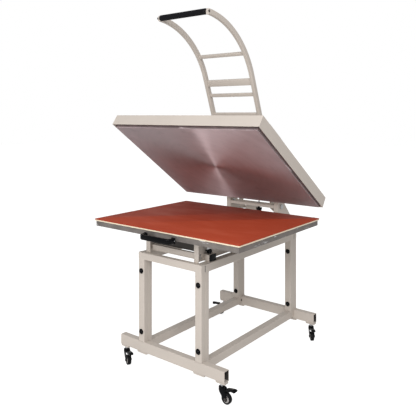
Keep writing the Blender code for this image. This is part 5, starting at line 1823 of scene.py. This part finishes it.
    def control_face(self) -> None:
        """The display window and its bezel, the box's screws, the buttons and the switch."""
        low, high = self.local("control_box")
        middle_x, middle_y = (low.x + high.x) / 2, (low.y + high.y) / 2
        deep, wide = high.y - low.y, high.x - low.x
        window_low = (middle_x - wide * 0.34, middle_y + deep * 0.02, high.z - 0.0003)
        window_high = (middle_x + wide * 0.20, middle_y + deep * 0.36, high.z + 0.0030)
        Shape().box(
            window_low, window_high, 0.0012, place=self.place,
        ).publish("display_window", self.paint.window, "platen")
        bezel = Shape()
        lip = 0.005
        for x0, x1, y0, y1 in (
            (window_low[0] - lip, window_high[0] + lip, window_high[1], window_high[1] + lip),
            (window_low[0] - lip, window_high[0] + lip, window_low[1] - lip, window_low[1]),
            (window_low[0] - lip, window_low[0], window_low[1], window_high[1]),
            (window_high[0], window_high[0] + lip, window_low[1], window_high[1]),
        ):
            bezel.box((x0, y0, high.z - 0.0003), (x1, y1, high.z + 0.0036), 0.0010, 2, self.place)
        bezel.publish("display_bezel", self.paint.grey, "platen")
        up = self.facing(0, 0, 1)
        spots = [
            (self.world(x, y, high.z), up)
            for x in (low.x + 0.009, high.x - 0.009)
            for y in (low.y + 0.009, high.y - 0.009)
        ]
        self.shop.fix_heads(
            "control_box_screws", self.shop.pan_head(0.0032, 0.0018), spots, self.paint.steel, "platen",
        )
        for name in ("set", "raise", "lower"):
            self.button(name)
        self.switch()

    def button(self, name: str) -> None:
        """A dished push button with a softened rim."""
        joint = joint_of(f"{name}_button_press")
        low, high = self.local(f"{name}_button")
        centre = Matrix.Translation(((low.x + high.x) / 2, (low.y + high.y) / 2, 0.0))
        radius = (high.x - low.x) / 2
        profile = [
            (0.0, low.z), (radius, low.z), (radius, high.z - 0.0012), (radius - 0.0010, high.z),
            (radius * 0.6, high.z - 0.0002), (0.0, high.z - 0.0009),
        ]
        shape = Shape().turned(profile, self.place @ centre, 28)
        shape.publish(f"{name}_push_button", self.paint.grey, joint["child"], [f"{name}_button"])

    def switch(self) -> None:
        """A rocker with a hollowed face and two raised ends."""
        joint = joint_of("power_switch_rock")
        low, high = self.local("power_switch")
        middle = (low.y + high.y) / 2
        half = (high.y - low.y) / 2
        outline = rounded_outline([
            (middle - half, low.z), (middle + half, low.z), (middle + half, high.z), (
                middle + half * 0.5, high.z - 0.0012,
            ),
            (middle, high.z - 0.0024), (middle - half * 0.5, high.z - 0.0012), (middle - half, high.z),
        ], 0.0015)
        turn = Matrix(((0, 0, 1, 0), (1, 0, 0, 0), (0, 1, 0, 0), (0, 0, 0, 1)))
        shape = Shape().prism(outline, low.x, high.x, 0.0005, self.place @ turn)
        shape.publish("rocker_switch", self.paint.black, joint["child"], ["power_switch"])

    def build(self) -> None:
        """Makes everything that tilts with the platen."""
        self.blanket()
        self.cover_fixings()
        self.heat_slots()
        self.yoke_beads()
        self.pressure_wheel()
        self.control_face()


@dataclass
class Ladder(Assembly):
    """The curved ladder lever, swept from its own centre line, with its grip."""

    open_angle: float
    rise: float = math.radians(34.72)
    straight: float = 0.655
    grip_forward: float = 0.4326
    grip_drop: float = 0.2822
    rail: Pair = (0.020, 0.030)
    rail_side: float = 0.170
    tail: float = 0.025
    rungs: tuple[Pair, ...] = (
        (0.070, 0.024), (0.418, 0.020), (0.542, 0.020), (0.620, 0.040), (0.794, 0.020),
    )

    def __post_init__(self) -> None:
        """Finds the pin and the bend from the joint and the sizes."""
        self.pin = anchor_of("lever_hinge")
        self.sweep_angle = 2 * math.atan2(self.grip_drop, self.grip_forward)
        self.bend = self.grip_forward / math.sin(self.sweep_angle)
        self.place = Matrix.Translation(self.pin) @ Matrix.Rotation(-self.open_angle - self.rise, 4, "X")

    def point(self, along: float, x: float = 0.0, off: float = 0.0) -> Vector:
        """A point off the rails' middle line, in the press's frame.

        Args:
            along: Distance up the ladder from its pin, measured level past the bend.
            x: Distance to the right.
            off: Distance out of the ladder's plane.

        Returns:
            The point.
        """
        angle = self.angle(along)
        size = self.bend + off
        if along <= self.straight:
            return self.place @ Vector((x, -along, off))
        return self.place @ Vector(
            (x, -self.straight - size * math.sin(angle), size * math.cos(angle) - self.bend)
        )

    def angle(self, along: float) -> float:
        """How far the rail has bent at a distance up the ladder."""
        return math.asin(min(1.0, max(0.0, (along - self.straight) / self.bend)))

    def frame_piece(self) -> None:
        """Both rails and all five rungs, with rounded tube corners."""
        sweep = self.shop.sweep
        shape = Shape()
        ends = [-self.tail, *[self.straight * i / 6 for i in range(7)]]
        turns = [self.sweep_angle * i / 28 for i in range(1, 29)]
        stations = ends + [self.straight + self.bend * math.sin(a) for a in turns]
        paths = [[self.point(s, side * self.rail_side) for s in stations] for side in (-1, 1)]
        shape.take(sweep.along(paths, self.rail[0], self.rail[1], 0.0032, self.paint.coat.material))
        for along, height in self.rungs:
            turn = self.place.to_3x3().to_4x4() @ Matrix.Rotation(self.angle(along), 4, "X")
            middle = Matrix.Translation(self.point(along)) @ turn
            half = self.rail_side - 0.009
            shape.box((-half, -height / 2, -0.008), (half, height / 2, 0.008), 0.0022, 3, middle)
        shape.publish("ladder_frame", self.paint.coat, "lever", ["ladder_lever"])

    def beads(self) -> None:
        """Weld beads round each rung's ends."""
        paths = []
        inner = self.rail_side - self.rail[0] / 2
        for along, height in self.rungs:
            turn = self.place.to_3x3().to_4x4() @ Matrix.Rotation(self.angle(along), 4, "X")
            middle = Matrix.Translation(self.point(along)) @ turn
            for side in (-1, 1):
                ring = [
                    (side * inner, y, z)
                    for y, z in (
                        (-height / 2, -0.008), (-height / 2, 0.008), (height / 2, 0.008),
                        (height / 2, -0.008), (-height / 2, -0.008),
                    )
                ]
                paths.append([middle @ Vector(p) for p in ring])
        self.shop.lay_beads("ladder_weld_beads", paths, 0.0013, "lever", seed=9)

    def grip(self) -> None:
        """A rubber sleeve with turned rings near its ends, and the bolts that hold it."""
        low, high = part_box("ladder_grip")
        y, z = (low.y + high.y) / 2, (low.z + high.z) / 2
        half, radius = (high.x - low.x) / 2, (high.z - low.z) / 2
        place = Matrix.Translation((0, y, z)) @ Axis.X.matrix()
        profile = [(0.0, -half), (radius * 0.92, -half), (radius, -half + 0.002), (radius, -half + 0.008)]
        pitch = 0.0065
        count = int((2 * half - 0.020) / pitch)
        start = -half + 0.010
        step = (2 * half - 0.020) / count
        for index in range(count):
            at = start + index * step
            profile += [
                (radius - 0.0009, at), (radius - 0.0009, at + step * 0.28), (radius, at + step * 0.42),
                (radius, at + step * 0.92),
            ]
        profile += [(radius, half - 0.008), (radius, half - 0.002), (radius * 0.92, half), (0.0, half)]
        Shape().turned(profile, place, 36).publish("grip_sleeve", self.paint.grip, "lever", ["ladder_grip"])
        face = self.rail_side + self.rail[0] / 2
        spots = [((side * face, y, z), (side, 0, 0)) for side in (-1, 1)]
        self.shop.fix_heads(
            "grip_bolts", self.shop.dome_head(0.0075, 0.0040), spots, self.paint.dark, "lever",
        )

    def pin_clips(self) -> None:
        """Washers on the lever pin."""
        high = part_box("lever_pin")[1]
        shape = Shape()
        place = Matrix.Translation((0, self.pin.y, self.pin.z)) @ Axis.X.matrix()
        inner = self.rail_side + self.rail[0] / 2
        for side in (-1, 1):
            a, b = side * (inner + 0.0004), side * (high.x - 0.0004)
            shape.turned([(0.0086, a), (0.0135, a), (0.0135, b), (0.0086, b)], place, 28, ring=True)
        shape.publish("lever_pin_washers", self.paint.steel, "lever")

    def build(self) -> None:
        """Makes the whole lever."""
        self.frame_piece()
        self.beads()
        self.grip()
        self.pin_clips()


# --- Studio --------------------------------------------------------------


@dataclass
class Studio:
    """Camera, lights, backdrop and floor."""

    camera_place: Point = (1.8606, -2.4559, 1.3887)
    heading: float = math.radians(38.2)
    lens: float = 45.75
    shift: float = -0.224
    sky: float = 0.46
    floor_glow: float = 0.20
    floor_shown: float = 0.62
    floor_size: float = 40.0

    def camera(self) -> None:
        """A level camera, shifted down to take in the casters."""
        data = bpy.data.cameras.new("camera")
        data.lens, data.sensor_width, data.shift_y = self.lens, 36.0, self.shift
        view = bpy.data.objects.new("camera", data)
        view.location = self.camera_place
        view.rotation_euler = (math.radians(90), 0.0, self.heading)
        bpy.context.scene.collection.objects.link(view)
        bpy.context.scene.camera = view

    def lamp(self, name: str, place: Point, aim: Point, size: Pair, power: float) -> None:
        """A soft rectangular light.

        Args:
            name: Its name.
            place: Where it stands.
            aim: The point it looks at.
            size: Its width and height.
            power: Its power in watts.
        """
        data = bpy.data.lights.new(name, "AREA")
        data.shape, data.size, data.size_y = "RECTANGLE", size[0], size[1]
        data.energy = power
        light = bpy.data.objects.new(name, data)
        light.location = place
        light.rotation_euler = (Vector(aim) - Vector(place)).to_track_quat("-Z", "Y").to_euler()
        bpy.context.scene.collection.objects.link(light)

    def world(self) -> None:
        """White behind the press, and a softer white as its fill light."""
        world = bpy.data.worlds.new("studio")
        world.use_nodes = True
        bpy.context.scene.world = world
        wiring = Wiring(world.node_tree)
        back = world.node_tree.nodes["Background"]
        rays = wiring.add("ShaderNodeLightPath")
        strength = wiring.math("MULTIPLY_ADD", rays.outputs["Is Camera Ray"], 1.0 - self.sky, self.sky)
        wiring.join(strength, back.inputs["Strength"])
        back.inputs["Color"].default_value = (1.0, 1.0, 1.0, 1.0)

    def floor(self) -> None:
        """A wide pale floor."""
        shape = Shape()
        half = self.floor_size / 2
        shape.box((-half, -half, -0.02), (half, half, -0.0005))
        mesh = shape.as_mesh("floor")
        made = bpy.data.materials.new("pale_floor")
        made.use_nodes = True
        wiring = Wiring(made.node_tree)
        shader = made.node_tree.nodes["Principled BSDF"]
        wiring.feed(shader, Base_Color=(0.60, 0.60, 0.60, 1.0), Roughness=0.8)
        shader.inputs["Emission Color"].default_value = (1.0, 1.0, 1.0, 1.0)
        rays = wiring.add("ShaderNodeLightPath")
        glow = wiring.math("MULTIPLY_ADD", rays.outputs["Is Camera Ray"], self.floor_shown, self.floor_glow)
        wiring.join(glow, shader.inputs["Emission Strength"])
        mesh.materials.append(made)
        floor = bpy.data.objects.new("floor", mesh)
        bpy.context.scene.collection.objects.link(floor)

    def build(self) -> None:
        """Sets the whole studio."""
        self.camera()
        self.world()
        self.floor()
        self.lamp("key", (-0.1, -4.4, 2.0), (0.0, 0.0, 1.1), (1.6, 1.6), 50.0)
        self.lamp("side", (2.3, -2.9, 3.2), (0.0, 0.0, 0.7), (2.4, 2.4), 92.0)
        bpy.context.scene.view_settings.view_transform = "Standard"


def platen_place() -> tuple[Matrix, float]:
    """The platen's own frame at rest and its opening angle, from its joint."""
    joint = joint_of("platen_hinge")
    angle = math.radians(joint["range_deg"][1])
    return Matrix.Translation(Vector(joint["pos_m"])) @ Matrix.Rotation(-angle, 4, "X"), angle


def main() -> None:
    """Builds the looks of every sub-assembly, in order."""
    logging.basicConfig(level=logging.INFO, format="%(name)s: %(message)s")
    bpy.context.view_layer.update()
    place, angle = platen_place()
    corners = [v.co for v in frame["nodes"]["heating_plate"].data.vertices]
    centre = sum(corners, Vector()) / len(corners)
    Studio().build()
    paint = Palette(centre)
    paint.dress_frame()
    shop = Workshop(paint, Scatter(), Sweep(), Weld())
    Stand(shop).build()
    for end in ENDS:
        for side, _ in SIDES:
            Caster(shop, end, side).build()
    Base(shop).build()
    Table(shop).build()
    RearHinge(shop).build()
    Platen(shop, place).build()
    Ladder(shop, angle).build()


if __name__ == "__main__":
    main()
